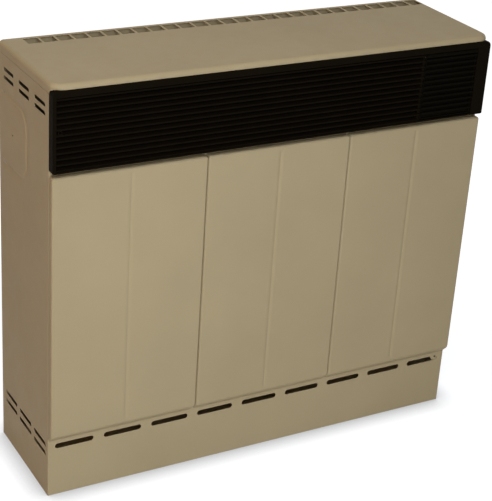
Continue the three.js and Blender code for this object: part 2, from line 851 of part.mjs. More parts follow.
function frontGrille() {
  const back = faceY - fit;
  const face = roundedOutline(-sideX, sideX, grilleBottomZ, grilleTopZ, grilleCorner, grilleLowerCorner);
  const outer = frontExtrusion(face, grilleY, back + 2 * grilleBevel, grilleBevel);
  const trimmed = outer.intersect(block(-caseWidth, caseWidth, grilleY - past, back, 0, caseHeight));
  const wall = grilleWall;
  const hollow = block(-sideX + wall, sideX - wall, grilleY + wall, faceY, grilleBottomZ + openBottomWall,
    grilleTopZ - wall);
  const left = -sideX + grilleSideBorder;
  const right = openLeftX - jamb;
  const windows = [
    block(left, right, grilleY - past, faceY, openBottomZ, openTopZ),
    block(openLeftX, openRightX, grilleY - past, faceY, openBottomZ, openTopZ),
  ];
  const z0 = grilleBottomZ + overlap;
  const z1 = grilleTopZ - overlap;
  const bars = [
    block(right, openLeftX, grilleY + jambSetback, back, z0, z1),
    block(openRightX, openRightX + jamb, grilleY + overlap, back, z0, z1),
  ];
  for (let i = 0; i < slatCount; i += 1) bars.push(slat(-sideX + wall / 2, openLeftX, slatZ(i)));
  for (let i = 1; i <= ribCount; i += 1) {
    const x = left + (i * (right - left)) / (ribCount + 1);
    bars.push(block(x, x + ribThickness, grilleY + slatDepth, back, z0, z1));
  }
  for (const side of [-1, 1]) {
    const bossFront = grilleY + grilleWall / 2;
    bars.push(bar(alongY, screwBossRadius, back - bossFront, side * grilleScrewX, (back + bossFront) / 2,
      grilleScrewZ, 12));
  }
  const cutters = [-1, 1].map((side) => bar(alongY, screwRadius + fit, 2 * screwLength, side * grilleScrewX,
    faceY - fit, grilleScrewZ, 12));
  cutters.push(bar(alongX, flapPinRadius + fit, flapWidth + 2 * jamb, (openLeftX + openRightX) / 2,
    flapAxisY, flapAxisZ, 12));
  const body = addAll([cutAll(trimmed, [hollow, ...windows]), ...bars]);
  return named('front_grille', cutAll(body, cutters), black);
}

// One slat of the grille, leaning back at its top.
function slat(x0, x1, z) {
  const geometry = new THREE.BoxGeometry(x1 - x0, slatDepth, slatHeight);
  geometry.rotateX(slatTilt);
  geometry.translate((x0 + x1) / 2, grilleY + slatSetback + slatDepth / 2, z);
  return solid(geometry);
}

function controlFlap() {
  const half = flapThickness / 2;
  const x0 = openLeftX + runningGap;
  const x1 = openRightX - runningGap;
  const bottom = openBottomZ + runningGap;
  const shape = new THREE.Shape();
  shape.moveTo(-half, bottom - flapAxisZ);
  shape.lineTo(half, bottom - flapAxisZ);
  shape.lineTo(half, 0);
  shape.absarc(0, 0, half, 0, Math.PI, false);
  const cutters = [bar(alongX, flapPinRadius + fit, flapWidth + 2 * past, 0, 0, 0, 12)];
  const width = x1 - x0;
  for (let i = 1; i < slatCount; i += 1) {
    const z = (slatZ(i) + slatZ(i - 1)) / 2 - flapAxisZ;
    const height = (slatPitch - slatHeight) / 2;
    cutters.push(block(-width / 2 + flapEdge, width / 2 - flapEdge, -half - past, -half + flapGrooveDepth,
      z - height, z + height));
  }
  const body = cutAll(sideExtrusion(shape, -width / 2, width / 2, 5), cutters);
  const mesh = named('control_flap', body, black);
  mesh.position.set((x0 + x1) / 2, flapAxisY, flapAxisZ);
  return mesh;
}

function flapPin() {
  const length = flapWidth + 2 * jamb - 2 * fit;
  const mesh = named('flap_hinge_pin', bar(alongX, flapPinRadius, length, 0, 0, 0, 12), zinc);
  mesh.position.set((openLeftX + openRightX) / 2, flapAxisY, flapAxisZ);
  return mesh;
}

// ---- Fasteners

// A pan head screw. Its head lies against a face at the origin and its shank goes along +Y.
function screw(name, x, y, z, turn = 0) {
  const profile = [[0, -screwHeadHeight], [screwHeadRadius - screwHeadHeight / 2, -screwHeadHeight],
    [screwHeadRadius, 0], [screwRadius, 0], [screwRadius, screwLength], [0, screwLength]];
  const mesh = named(name, turned(alongY, profile, 0, 0, 0, 8), zinc);
  mesh.position.set(x, y, z);
  mesh.rotation.z = turn;
  return mesh;
}

// ---- Heat exchanger and flue

function chamberProfile(inset) {
  const knee = inset / 2;
  return outline([
    [exchangerBackY - inset, exchangerBottomZ + inset],
    [exchangerFrontY + inset, exchangerBottomZ + inset],
    [exchangerFrontY + inset, exchangerShoulderZ - knee],
    [exchangerUpperY + inset, exchangerNeckZ - knee],
    [exchangerUpperY + inset, exchangerTopZ - inset],
    [exchangerBackY - inset, exchangerTopZ - inset],
  ]);
}

function heatExchanger() {
  const w = exchangerWall;
  const outer = sideExtrusion(chamberProfile(0), -exchangerX, exchangerX);
  const inner = sideExtrusion(chamberProfile(w), -exchangerX + w, exchangerX - w);
  const ribs = [];
  for (let i = 0; i < exchangerRibCount; i += 1) {
    const x = (i - (exchangerRibCount - 1) / 2) * exchangerRibPitch;
    ribs.push(block(x - exchangerRibWidth / 2, x + exchangerRibWidth / 2, exchangerUpperY - exchangerRibDepth,
      exchangerUpperY + overlap, exchangerNeckZ + exchangerRibEnd, exchangerTopZ - exchangerRibEnd));
  }
  const cutters = [
    block(-doorHoleX, doorHoleX, exchangerFrontY - w, exchangerFrontY + 2 * w, doorHoleBottomZ, doorHoleTopZ),
    block(-flueWidth / 2 + ductWall, flueWidth / 2 - ductWall, exchangerBackY - 2 * w, exchangerBackY + w,
      flueZ - flueHeight / 2 + ductWall, flueZ + flueHeight / 2 - ductWall),
    block(-intakeWidth / 2 + ductWall, intakeWidth / 2 - ductWall, exchangerBackY - 2 * w, exchangerBackY + w,
      intakeZ - intakeHeight / 2 + ductWall, intakeZ + intakeHeight / 2 - ductWall),
    bar(alongX, injectorNoseRadius + fit, 4 * w, exchangerX, burnerY, burnerZ),
  ];
  for (const [x, z] of doorScrewPlaces()) {
    cutters.push(bar(alongY, screwRadius + fit, 4 * w, x, exchangerFrontY, z, 10));
  }
  return named('heat_exchanger', cutAll(outer.subtract(inner).add(addAll(ribs)), cutters), enamel);
}

function doorScrewPlaces() {
  const x = doorX - doorScrewInset;
  const z = doorScrewInset;
  return [[-x, doorBottomZ + z], [x, doorBottomZ + z], [-x, doorTopZ - z], [x, doorTopZ - z]];
}

function duct(name, width, height, z) {
  const start = exchangerBackY + fit;
  const outer = addAll([
    block(-width / 2, width / 2, start, wallY, z - height / 2, z + height / 2),
    block(-width / 2 - ductFlange, width / 2 + ductFlange, start, start + ductWall,
      z - height / 2 - ductFlange, z + height / 2 + ductFlange),
  ]);
  const inner = block(-width / 2 + ductWall, width / 2 - ductWall, start - past, wallY + past,
    z - height / 2 + ductWall, z + height / 2 - ductWall);
  return named(name, outer.subtract(inner), aluminised);
}

function exchangerMount(name, side) {
  const x0 = exchangerX + fit;
  const body = addAll([
    block(side * x0, side * (x0 + wallSheet), backY - mountDepth, backY, mountZ, mountZ + mountHeight),
    block(side * x0, side * (x0 + mountLegWidth), backY - wallSheet, backY, mountZ, mountZ + mountHeight),
  ]);
  return named(name, body, zinc);
}

function doorGasket() {
  const ring = block(-doorX, doorX, gasketY, gasketY + gasketThickness, doorBottomZ, doorTopZ)
    .subtract(block(-doorHoleX, doorHoleX, gasketY - past, gasketY + 2 * gasketThickness, doorHoleBottomZ,
      doorHoleTopZ));
  return named('access_door_gasket', cutAll(ring, doorScrewHoles(gasketY)), fibre);
}

function doorScrewHoles(y) {
  return doorScrewPlaces().map(([x, z]) => bar(alongY, screwHoleRadius, 4 * doorThickness, x, y, z, 10));
}

function accessDoor() {
  const plate = block(-doorX, doorX, doorY, doorY + doorThickness, doorBottomZ, doorTopZ);
  const sightHole = bar(alongY, sightRadius, 4 * doorThickness, sightX, doorY, sightZ, 24);
  const holes = [...doorScrewHoles(doorY), sightHole];
  const radii = [pilotPipeRadius, thermocoupleRadius, ignitionRadius];
  radii.forEach((radius, i) => {
    holes.push(bar(alongY, radius + fit, 4 * doorThickness, pilotFirstX + i * pilotPitch, doorY, leadZ, 12));
  });
  return named('burner_access_door', cutAll(plate, holes), enamel);
}

function sightGlass() {
  const y = doorY - fit - glassThickness / 2;
  const radius = ringRadius - ringLip - fit;
  return named('sight_glass', bar(alongY, radius, glassThickness, sightX, y, sightZ, 24), glass);
}

function sightGlassRing() {
  const y = doorY - fit - ringThickness / 2;
  const body = bar(alongY, ringRadius, ringThickness, sightX, y, sightZ, 24);
  const seatDepth = 2 * (glassThickness + fit);
  const seat = bar(alongY, ringRadius - ringLip, seatDepth, sightX, doorY, sightZ, 24);
  const view = bar(alongY, sightRadius - ringLip, 3 * ringThickness, sightX, y, sightZ, 24);
  return named('sight_glass_ring', body.subtract(seat).subtract(view), zinc);
}

// ---- Burner and pilot

function burnerBar() {
  const w = burnerWall;
  const r = burnerRadius;
  const throatX = burnerBodyRightX + throatTaper;
  const flareX = burnerMouthX - mouthTaper;
  const profile = [
    [0, burnerLeftX], [r, burnerLeftX], [r, burnerBodyRightX], [throatRadius, throatX],
    [throatRadius, flareX], [mouthRadius, burnerMouthX], [mouthRadius - w, burnerMouthX],
    [throatRadius - w, flareX], [throatRadius - w, throatX],
    [r - w, burnerBodyRightX], [r - w, burnerLeftX + w], [0, burnerLeftX + w],
  ];
  const tube = turned(alongX, profile, 0, burnerY, burnerZ, 16);
  const ports = [];
  for (let i = 0; i < portCount; i += 1) {
    const x = burnerLeftX + portInset + i * portPitch;
    ports.push(block(x, x + portWidth, burnerY - portLength / 2, burnerY + portLength / 2, burnerZ + r / 2,
      burnerZ + r + past));
  }
  return named('burner_bar', cutAll(tube, ports), aluminised);
}

function burnerSaddle(name, x) {
  const floor = exchangerBottomZ + exchangerWall + fit;
  const half = saddleDepth / 2;
  const body = block(x, x + saddleThickness, burnerY - half, burnerY + half, floor, burnerZ);
  const cradle = bar(alongX, burnerRadius + fit, 6 * saddleThickness, x, burnerY, burnerZ, 24);
  return named(name, body.subtract(cradle), zinc);
}

function injectorHolder() {
  const wallX = exchangerX + fit;
  const nutX = wallX + injectorFlangeThickness;
  const profile = [
    [0, injectorNoseX], [injectorNoseRadius, injectorNoseX], [injectorNoseRadius, wallX],
    [injectorFlangeRadius, wallX], [injectorFlangeRadius, nutX], [feedNutRadius, nutX],
    [feedNutRadius, injectorEndX], [0, injectorEndX],
  ];
  return named('injector_holder', turned(alongX, profile, 0, burnerY, burnerZ, 12), brass);
}

function pilotX(number) {
  return pilotFirstX + number * pilotPitch;
}

function pilotBracket() {
  const x0 = pilotX(0) - pilotPlateMargin;
  const x1 = pilotX(2) + pilotPlateMargin;
  const rear = doorY + doorThickness + fit;
  const t = pilotPlateThickness;
  const body = addAll([
    block(x0, x1, rear, pilotY + pilotPlateMargin, pilotPlateZ, pilotPlateZ + t),
    block(x0, x1, rear, rear + t, pilotPlateZ, pilotPlateZ + pilotLegHeight),
  ]);
  const radii = [pilotRadius, probeRadius, electrodeRadius];
  const holes = radii.map((radius, i) => (
    bar(alongZ, radius + fit, 6 * t, pilotX(i), pilotY, pilotPlateZ, 12)
  ));
  return named('pilot_bracket', cutAll(body, holes), zinc);
}

// A turned stem with a collar that rests on the pilot bracket.
function pilotStem(name, number, radius, footRadius, tipRadius, tipZ, material) {
  const seat = pilotPlateZ + pilotPlateThickness + fit;
  const neck = seat + pilotCollarHeight;
  const profile = [
    [0, pilotFootZ], [footRadius, pilotFootZ], [radius, pilotFootZ + pilotCollarHeight], [radius, seat],
    [radius + pilotCollar, seat], [radius + pilotCollar, neck], [tipRadius, neck], [tipRadius, tipZ],
    [0, tipZ],
  ];
  return named(name, turned(alongZ, profile, pilotX(number), pilotY, 0, 10), material);
}

// ---- Controls

function controlBracket() {
  const t = plateThickness;
  const lipZ = bracketScrewZ - 2 * screwHoleRadius;
  const body = addAll([
    block(plateLeftX, plateRightX, plateY - t, plateY, plateBottomZ, plateTopZ),
    block(plateLeftX, plateRightX, frameBackY, plateY, plateBottomZ, plateBottomZ + t),
    block(plateLeftX, plateRightX, frameBackY, plateY, plateTopZ - t, plateTopZ),
    block(plateLeftX, plateRightX, frameBackY, frameBackY + t, lipZ, plateBottomZ + t),
  ]);
  const cutters = [
    bar(alongY, sleeveRadius + sleeveHoleGap, 6 * t, knobX, plateY, knobZ, 24),
    bar(alongY, piezoNeckRadius + fit, 6 * t, piezoX, plateY, piezoZ, 20),
  ];
  for (const x of valveScrewXs) cutters.push(bar(alongY, screwHoleRadius, 6 * t, x, plateY, knobZ, 10));
  for (const x of bracketScrewXs) {
    cutters.push(bar(alongY, screwHoleRadius, 6 * t, x, frameBackY, bracketScrewZ, 10));
  }
  return named('control_bracket', cutAll(body, cutters), black);
}

function gasValve() {
  const x0 = knobX - valveWidth / 2 + valveShift;
  const x1 = x0 + valveWidth;
  const z0 = knobZ - valveHeight / 2;
  const back = valveFrontY + valveDepth;
  const body = addAll([
    block(x0, x1, valveFrontY, back, z0, z0 + valveHeight),
    block(knobX - valveNeckWidth / 2, knobX + valveNeckWidth / 2, plateY + fit, valveFrontY + overlap,
      knobZ - valveNeckHeight / 2, knobZ + valveNeckHeight / 2),
    portNut(feedPortX, rearPortY, z0), portNut(supplyPortX, rearPortY, z0),
    portNut(supplyPortX, frontPortY, z0), portNut(knobX, frontPortY, z0),
  ]);
  const boreEnd = sleeveBackY + knobPress + sleeveEndGap;
  const cutters = [
    bar(alongY, sleeveRadius + sleeveHoleGap, boreEnd - plateY, knobX, (boreEnd + plateY) / 2, knobZ, 24),
  ];
  for (const x of valveScrewXs) {
    cutters.push(bar(alongY, screwRadius + fit, 2 * (screwLength + past), x, plateY, knobZ, 10));
  }
  return named('gas_valve', cutAll(body, cutters), aluminised);
}

function portNut(x, y, z) {
  return bar(alongZ, portNutRadius, portNutHeight + overlap, x, y, z - (portNutHeight - overlap) / 2, 6);
}

function pushSleeve() {
  const length = sleeveBackY - knobBackY - fit;
  const tube = bar(alongY, sleeveRadius, length, 0, 0, 0, 20);
  const bore = bar(alongY, spindleRadius + fit, length + 2 * past, 0, 0, 0, 16);
  const mesh = named('push_sleeve', tube.subtract(bore), zinc);
  mesh.position.set(knobX, (sleeveBackY + knobBackY + fit) / 2, knobZ);
  return mesh;
}

function valveSpindle() {
  const length = sleeveBackY - spindleFrontY;
  const rod = bar(alongY, spindleRadius, length, 0, 0, 0, 16);
  const flatZ = spindleRadius - spindleFlat;
  const flat = block(-spindleRadius, spindleRadius, -length, length, flatZ, spindleRadius + past);
  const mesh = named('valve_spindle', rod.subtract(flat), brass);
  mesh.position.set(knobX, (sleeveBackY + spindleFrontY) / 2, knobZ);
  return mesh;
}

function controlKnob() {
  const length = knobHeight;
  const skirt = bar(alongY, knobRadius, knobSkirt, 0, -knobSkirt / 2, 0, 32);
  const gripEnd = knobRadius - knobGripInset;
  const halfGrip = knobGripWidth / 2;
  const grip = roundedOutline(-halfGrip, halfGrip, -gripEnd, gripEnd, halfGrip - overlap);
  const handle = frontExtrusion(grip, -length, -knobSkirt + overlap);
  const bore = bar(alongY, spindleRadius + fit, 2 * (length - knobBoreEnd), 0, 0, 0, 16);
  const mark = block(-knobMark / 2, knobMark / 2, -length - past, -length + knobMarkDepth, knobRadius / 3,
    knobRadius);
  const body = skirt.add(handle).subtract(bore).subtract(mark);
  const mesh = named('control_knob', body, black);
  mesh.position.set(knobX, knobBackY, knobZ);
  return mesh;
}

function piezoIgniter() {
  const front = plateY + fit;
  const barrel = bar(alongY, piezoRadius, piezoBackY - front, 0, (piezoBackY + front) / 2, 0, 20);
  const neckBack = front + overlap;
  const neckLength = neckBack - piezoNeckFrontY;
  const neck = bar(alongY, piezoNeckRadius, neckLength, 0, (neckBack + piezoNeckFrontY) / 2, 0, 20);
  const boreDepth = piezoButtonRoot + piezoStroke + runningGap;
  const bore = bar(alongY, piezoButtonRadius + fit, 2 * boreDepth, 0, piezoNeckFrontY, 0, 16);
  const mesh = named('piezo_igniter', barrel.add(neck).subtract(bore), rubber);
  mesh.position.set(piezoX, 0, piezoZ);
  return mesh;
}

function piezoButton() {
  const front = piezoNeckFrontY - piezoButtonReach;
  const profile = [[0, 0], [piezoButtonRadius - overlap, 0], [piezoButtonRadius, overlap],
    [piezoButtonRadius, piezoButtonLength], [0, piezoButtonLength]];
  const mesh = named('piezo_button', turned(alongY, profile, 0, 0, 0, 16), rubber);
  mesh.position.set(piezoX, front, piezoZ);
  return mesh;
}

function piezoLocknut() {
  const y = plateY - plateThickness - fit - locknutThickness / 2;
  const body = bar(alongY, locknutRadius, locknutThickness, 0, 0, 0, 6);
  const hole = bar(alongY, piezoNeckRadius + fit, 2 * locknutThickness, 0, 0, 0, 20);
  const mesh = named('piezo_locknut', body.subtract(hole), zinc);
  mesh.position.set(piezoX, y, piezoZ);
  return mesh;
}

// ---- Pipes and leads

function supplyPipe() {
  const x = supplyPortX;
  const route = [[x, rearPortY, valvePortZ], [x, rearPortY, inletZ], [x, unionFrontY - fit, inletZ]];
  return named('gas_supply_pipe', pipe(route, supplyRadius, pipeBend), copper);
}

function feedPipe() {
  const route = [[feedPortX, rearPortY, valvePortZ], [feedPortX, burnerY, burnerZ],
    [injectorEndX + fit, burnerY, burnerZ]];
  return named('burner_feed_pipe', pipe(route, feedRadius, pipeBend), copper);
}

// The route of one lead: down from the pilot group, out through the door, across, and up to the controls.
function leadRoute(number, upX, endY, endZ) {
  const x = pilotX(number);
  const y = leadFirstY + number * leadPitchY;
  return [[x, pilotY, pilotFootZ - fit], [x, pilotY, leadZ], [x, y, leadZ], [upX, y, leadZ],
    [upX, y, leadJogZ], [upX, endY, leadJogZ], [upX, endY, endZ]];
}

function pilotPipe() {
  const route = leadRoute(0, supplyPortX, frontPortY, valvePortZ);
  return named('pilot_pipe', pipe(route, pilotPipeRadius, leadBend), copper);
}

function thermocoupleLead() {
  const route = leadRoute(1, knobX, frontPortY, valvePortZ);
  return named('thermocouple_lead', pipe(route, thermocoupleRadius, leadBend, 6), copper);
}

function ignitionLead() {
  const behind = piezoBackY + ignitionLoop;
  const route = leadRoute(2, piezoX, behind, piezoZ);
  route.push([piezoX, piezoBackY + fit, piezoZ]);
  return named('ignition_lead', pipe(route, ignitionRadius, leadBend), rubber);
}

function inletUnion() {
  const hexY = unionFrontY + unionHexInset + unionHexLength / 2;
  const body = addAll([
    bar(alongY, unionRadius, wallY - unionFrontY, supplyPortX, (wallY + unionFrontY) / 2, inletZ, 24),
    bar(alongY, unionHexRadius, unionHexLength, supplyPortX, hexY, inletZ, 6),
  ]);
  const bore = bar(alongY, supplyRadius, 2 * unionBore, supplyPortX, wallY, inletZ, 16);
  return named('gas_inlet_union', body.subtract(bore), brass);
}

// The thermostat bulb and its capillary are one sealed piece.
function thermostatPhial() {
  const bulb = bar(alongX, bulbRadius, bulbLength, bulbX, bulbY, bulbZ, 12);
  const endX = knobX + valveWidth / 2 + valveShift + fit;
  const route = [[bulbRightX - bulbSink, bulbY, bulbZ], [capillaryX, bulbY, bulbZ],
    [capillaryX, bulbY, capillaryZ], [capillaryX, frontPortY, capillaryZ], [endX, frontPortY, capillaryZ]];
  return named('thermostat_phial', bulb.add(pipe(route, capillaryRadius, leadBend, 6)), copper);
}

function phialClip() {
  const body = block(bulbX - clipWidth / 2, bulbX + clipWidth / 2, bulbY - clipDepth / 2,
    bulbY + clipDepth / 2, baseZ + sheet + fit, bulbZ + bulbRadius + clipCrown);
  const seat = bar(alongX, bulbRadius + fit, 3 * clipWidth, bulbX, bulbY, bulbZ, 12);
  return named('phial_clip', body.subtract(seat), zinc);
}

// ---- Plinth brackets

// The height of a bracket's screw: the left one sits below the slots, the right one behind the last slot.
function bracketZ(side) {
  return side < 0 ? leftBracketZ : rightBracketZ;
}

function plinthBracket(name, side) {
  const x1 = insideX - sheet - fit;
  const x0 = x1 - bracketReach;
  const y0 = faceY + sheet + fit;
  const y1 = faceY + plinthReturn;
  const z0 = bracketZ(side) - bracketDrop;
  const z1 = bracketZ(side) + bracketRise;
  const corners = [[x0 + bracketSlant, z0], [x1, z0], [x1, z1], [x0, z1]];
  const face = frontExtrusion(outline(corners.map(([x, z]) => [side * x, z])), y0, y0 + sheet);
  const leg = block(side * (x1 - sheet), side * x1, y0, y1, z0, z1);
  const hole = bar(alongX, screwHoleRadius, 4 * sheet, side * x1, faceY + plinthReturn / 2, bracketZ(side));
  const pinHole = bar(alongY, bracketPinHoleRadius, 4 * sheet, side * (sideX - bracketPinHoleInset), y0,
    bracketZ(side));
  return named(name, cutAll(face.add(leg), [hole, pinHole]), beige);
}

// ---- Assembly

function group(...parts) {
  const result = new THREE.Group();
  result.add(...parts);
  return result;
}

const casing = group(
  topCover(), sidePanel('left_side_panel', -1), sidePanel('right_side_panel', 1), plinthFront(),
  frontPanel('front_panel_left', 0), frontPanel('front_panel_centre', 1), frontPanel('front_panel_right', 2),
  frontFrame(), heatShield(), baseTray(), backPlate(), airDeflector(), frontGrille(), flapPin(),
  controlFlap(),
  plinthBracket('plinth_bracket_left', -1), plinthBracket('plinth_bracket_right', 1),
);

const heatEngine = group(
  heatExchanger(), duct('flue_outlet_duct', flueWidth, flueHeight, flueZ),
  duct('air_intake_duct', intakeWidth, intakeHeight, intakeZ),
  exchangerMount('exchanger_mount_left', -1), exchangerMount('exchanger_mount_right', 1),
  doorGasket(), accessDoor(), sightGlass(), sightGlassRing(), burnerBar(),
  burnerSaddle('burner_saddle_left', -saddleX), burnerSaddle('burner_saddle_right', saddleX),
  injectorHolder(), pilotBracket(),
  pilotStem('pilot_burner', 0, pilotRadius, pilotPipeRadius, pilotTipRadius, pilotTopZ, brass),
  pilotStem('thermocouple', 1, probeRadius, thermocoupleRadius, probeTipRadius, probeTopZ, copper),
  pilotStem('ignition_electrode', 2, electrodeRadius, ignitionRadius, sparkTipRadius, sparkTopZ, ceramic),
);

const controls = group(
  controlBracket(), gasValve(), pushSleeve(), valveSpindle(), controlKnob(), piezoIgniter(), piezoButton(),
  piezoLocknut(), inletUnion(), supplyPipe(), feedPipe(), pilotPipe(), thermocoupleLead(), ignitionLead(),
  thermostatPhial(), phialClip(),
);

const screws = new THREE.Group();
doorScrewPlaces().forEach(([x, z], i) => screws.add(screw(`door_screw_${i + 1}`, x, doorY - fit, z)));
valveScrewXs.forEach((x, i) => {
  screws.add(screw(`valve_screw_${i + 1}`, x, plateY - plateThickness - fit, knobZ));
});
bracketScrewXs.forEach((x, i) => screws.add(screw(`bracket_screw_${i + 1}`, x, faceY - fit, bracketScrewZ)));
[-1, 1].forEach((side, i) => {
  screws.add(screw(`grille_screw_${i + 1}`, side * grilleScrewX, faceY + sheet + fit, grilleScrewZ, Math.PI));
});

export default group(casing, heatEngine, controls, screws);
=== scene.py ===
# The looks of the wall mounted gas heater: its camera, light, finishes and detailed pieces.
# Metres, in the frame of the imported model. +X is to the right, +Y goes into the wall, +Z is up.
import json
from math import asin, cos, degrees, pi, radians, sin, sqrt

import bmesh
import bpy
from mathutils import Matrix, Vector


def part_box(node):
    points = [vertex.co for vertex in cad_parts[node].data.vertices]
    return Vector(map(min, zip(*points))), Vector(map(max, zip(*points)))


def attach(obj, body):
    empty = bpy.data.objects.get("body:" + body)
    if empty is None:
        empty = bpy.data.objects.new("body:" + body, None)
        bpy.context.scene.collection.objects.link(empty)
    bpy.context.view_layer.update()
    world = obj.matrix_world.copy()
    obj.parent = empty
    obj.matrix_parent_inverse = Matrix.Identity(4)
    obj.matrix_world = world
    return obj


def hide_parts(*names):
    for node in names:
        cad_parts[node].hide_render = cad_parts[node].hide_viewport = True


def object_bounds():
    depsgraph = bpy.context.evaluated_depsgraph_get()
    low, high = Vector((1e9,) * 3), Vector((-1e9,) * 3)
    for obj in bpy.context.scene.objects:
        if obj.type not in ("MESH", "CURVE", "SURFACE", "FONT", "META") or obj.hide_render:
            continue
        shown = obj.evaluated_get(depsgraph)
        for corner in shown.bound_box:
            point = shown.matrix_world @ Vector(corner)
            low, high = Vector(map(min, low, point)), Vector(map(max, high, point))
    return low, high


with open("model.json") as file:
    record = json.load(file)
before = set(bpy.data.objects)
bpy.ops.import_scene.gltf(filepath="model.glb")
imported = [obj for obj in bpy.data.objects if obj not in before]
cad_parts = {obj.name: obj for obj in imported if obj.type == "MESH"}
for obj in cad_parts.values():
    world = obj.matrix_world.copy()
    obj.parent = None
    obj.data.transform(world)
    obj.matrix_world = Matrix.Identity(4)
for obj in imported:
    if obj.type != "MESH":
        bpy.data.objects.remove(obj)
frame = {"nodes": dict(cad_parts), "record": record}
cad_low, cad_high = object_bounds()
nodes = frame["nodes"]

# ---- Sizes that the frame doesn't give
MM = 0.001
SHEET = 1.2 * MM
FIT = 0.3 * MM
EDGE = 0.35 * MM
PHOTO_WIDTH, PHOTO_HEIGHT = 492, 501

# ---- Sizes from the frame
case_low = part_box("front_frame")[0]
left_low, left_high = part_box("left_side_panel")
right_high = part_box("right_side_panel")[1]
cover_low, cover_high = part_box("top_cover")
plinth_low, plinth_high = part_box("plinth_front")
grille_low, grille_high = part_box("front_grille")
flap_low, flap_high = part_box("control_flap")
face_y = case_low.y
wall_y = left_high.y
pan_back_y = face_y - FIT


# ---- Camera
FOCAL_PIXELS = 1468.7
CAMERA_PLACE = Vector((-1.0450, -1.8158, 1.3179))
CAMERA_FORWARD = Vector((0.4526, 0.7793, -0.4334))
CAMERA_ROLL = 3.86
SENSOR_WIDTH = 36
CLIP_NEAR, CLIP_FAR = 0.05, 50


def add_camera():
    data = bpy.data.cameras.new("camera")
    data.sensor_width = SENSOR_WIDTH
    data.lens = FOCAL_PIXELS / max(PHOTO_WIDTH, PHOTO_HEIGHT) * SENSOR_WIDTH
    data.clip_start, data.clip_end = CLIP_NEAR, CLIP_FAR
    camera = bpy.data.objects.new("camera", data)
    turn = CAMERA_FORWARD.to_track_quat("-Z", "Y").to_matrix().to_4x4()
    roll = Matrix.Rotation(radians(CAMERA_ROLL), 4, "Z")
    camera.matrix_world = Matrix.Translation(CAMERA_PLACE) @ turn @ roll
    bpy.context.scene.collection.objects.link(camera)
    bpy.context.scene.camera = camera


# ---- Node helpers
class Shader:
    """A material's node tree with short ways to add nodes and links."""

    def __init__(self, name):
        self.material = bpy.data.materials.new(name)
        self.material.use_nodes = True
        self.tree = self.material.node_tree
        self.tree.nodes.clear()
        self.output = self.tree.nodes.new("ShaderNodeOutputMaterial")

    def add(self, kind, **settings):
        node = self.tree.nodes.new("ShaderNode" + kind)
        for key, value in settings.items():
            setattr(node, key, value)
        return node

    def link(self, source, target):
        self.tree.links.new(source, target)

    def place(self):
        """The place on the object, in metres. A piece rests in the row frame, so all pieces share it."""
        return self.add("TexCoord").outputs["Object"]

    def noise(self, scale, detail=2.0, roughness=0.5, stretch=(1, 1, 1)):
        mapping = self.add("Mapping")
        mapping.inputs["Scale"].default_value = stretch
        self.link(self.place(), mapping.inputs["Vector"])
        node = self.add("TexNoise")
        node.inputs["Scale"].default_value = scale
        node.inputs["Detail"].default_value = detail
        node.inputs["Roughness"].default_value = roughness
        self.link(mapping.outputs["Vector"], node.inputs["Vector"])
        return node.outputs["Fac"]

    def remap(self, value, low, high, new_low, new_high):
        node = self.add("MapRange")
        for name, number in zip(("From Min", "From Max", "To Min", "To Max"), (low, high, new_low, new_high)):
            node.inputs[name].default_value = number
        self.link(value, node.inputs["Value"])
        return node.outputs["Result"]

    def mix(self, factor, first, second):
        """A colour between two, each a colour or another node's output."""
        node = self.add("Mix", data_type="RGBA")
        self.link(factor, node.inputs["Factor"])
        for socket, value in ((node.inputs[6], first), (node.inputs[7], second)):
            if isinstance(value, tuple):
                socket.default_value = (*value, 1)
            else:
                self.link(value, socket)
        return node.outputs[2]

    def bump(self, height, distance, strength=1.0, before=None):
        node = self.add("Bump")
        node.inputs["Strength"].default_value = strength
        node.inputs["Distance"].default_value = distance
        self.link(height, node.inputs["Height"])
        if before is not None:
            self.link(before, node.inputs["Normal"])
        return node.outputs["Normal"]

    def principled(self, colour, roughness, normal=None, **settings):
        node = self.add("BsdfPrincipled")
        for key, value in settings.items():
            node.inputs[key.replace("_", " ").title().replace("Ior", "IOR")].default_value = value
        for name, value in (("Base Color", colour), ("Roughness", roughness), ("Normal", normal)):
            if isinstance(value, tuple):
                node.inputs[name].default_value = (*value, 1)
            elif isinstance(value, float):
                node.inputs[name].default_value = value
            elif value is not None:
                self.link(value, node.inputs[name])
        self.link(node.outputs["BSDF"], self.output.inputs["Surface"])
        return self.material


def linear(red, green, blue):
    """A colour given as 0 to 255 sRGB numbers, as the light that it reflects."""
    parts = [value / 255 for value in (red, green, blue)]
    return tuple(v / 12.92 if v <= 0.04045 else ((v + 0.055) / 1.055) ** 2.4 for v in parts)


# ---- Finishes. Noise scales are waves per metre, and bump heights are in millimetres.
CLOUD_SCALE, PATCH_SCALE, PEEL_SCALE, GRAIN_SCALE, FINE_SCALE = 7, 60, 380, 900, 1600
PEEL_HEIGHT, FINE_HEIGHT, LINE_HEIGHT = 0.06 * MM, 0.02 * MM, 0.02 * MM
PAINT_SHINE = 0.05


def scaled(colour, factor):
    return tuple(factor * c for c in colour)


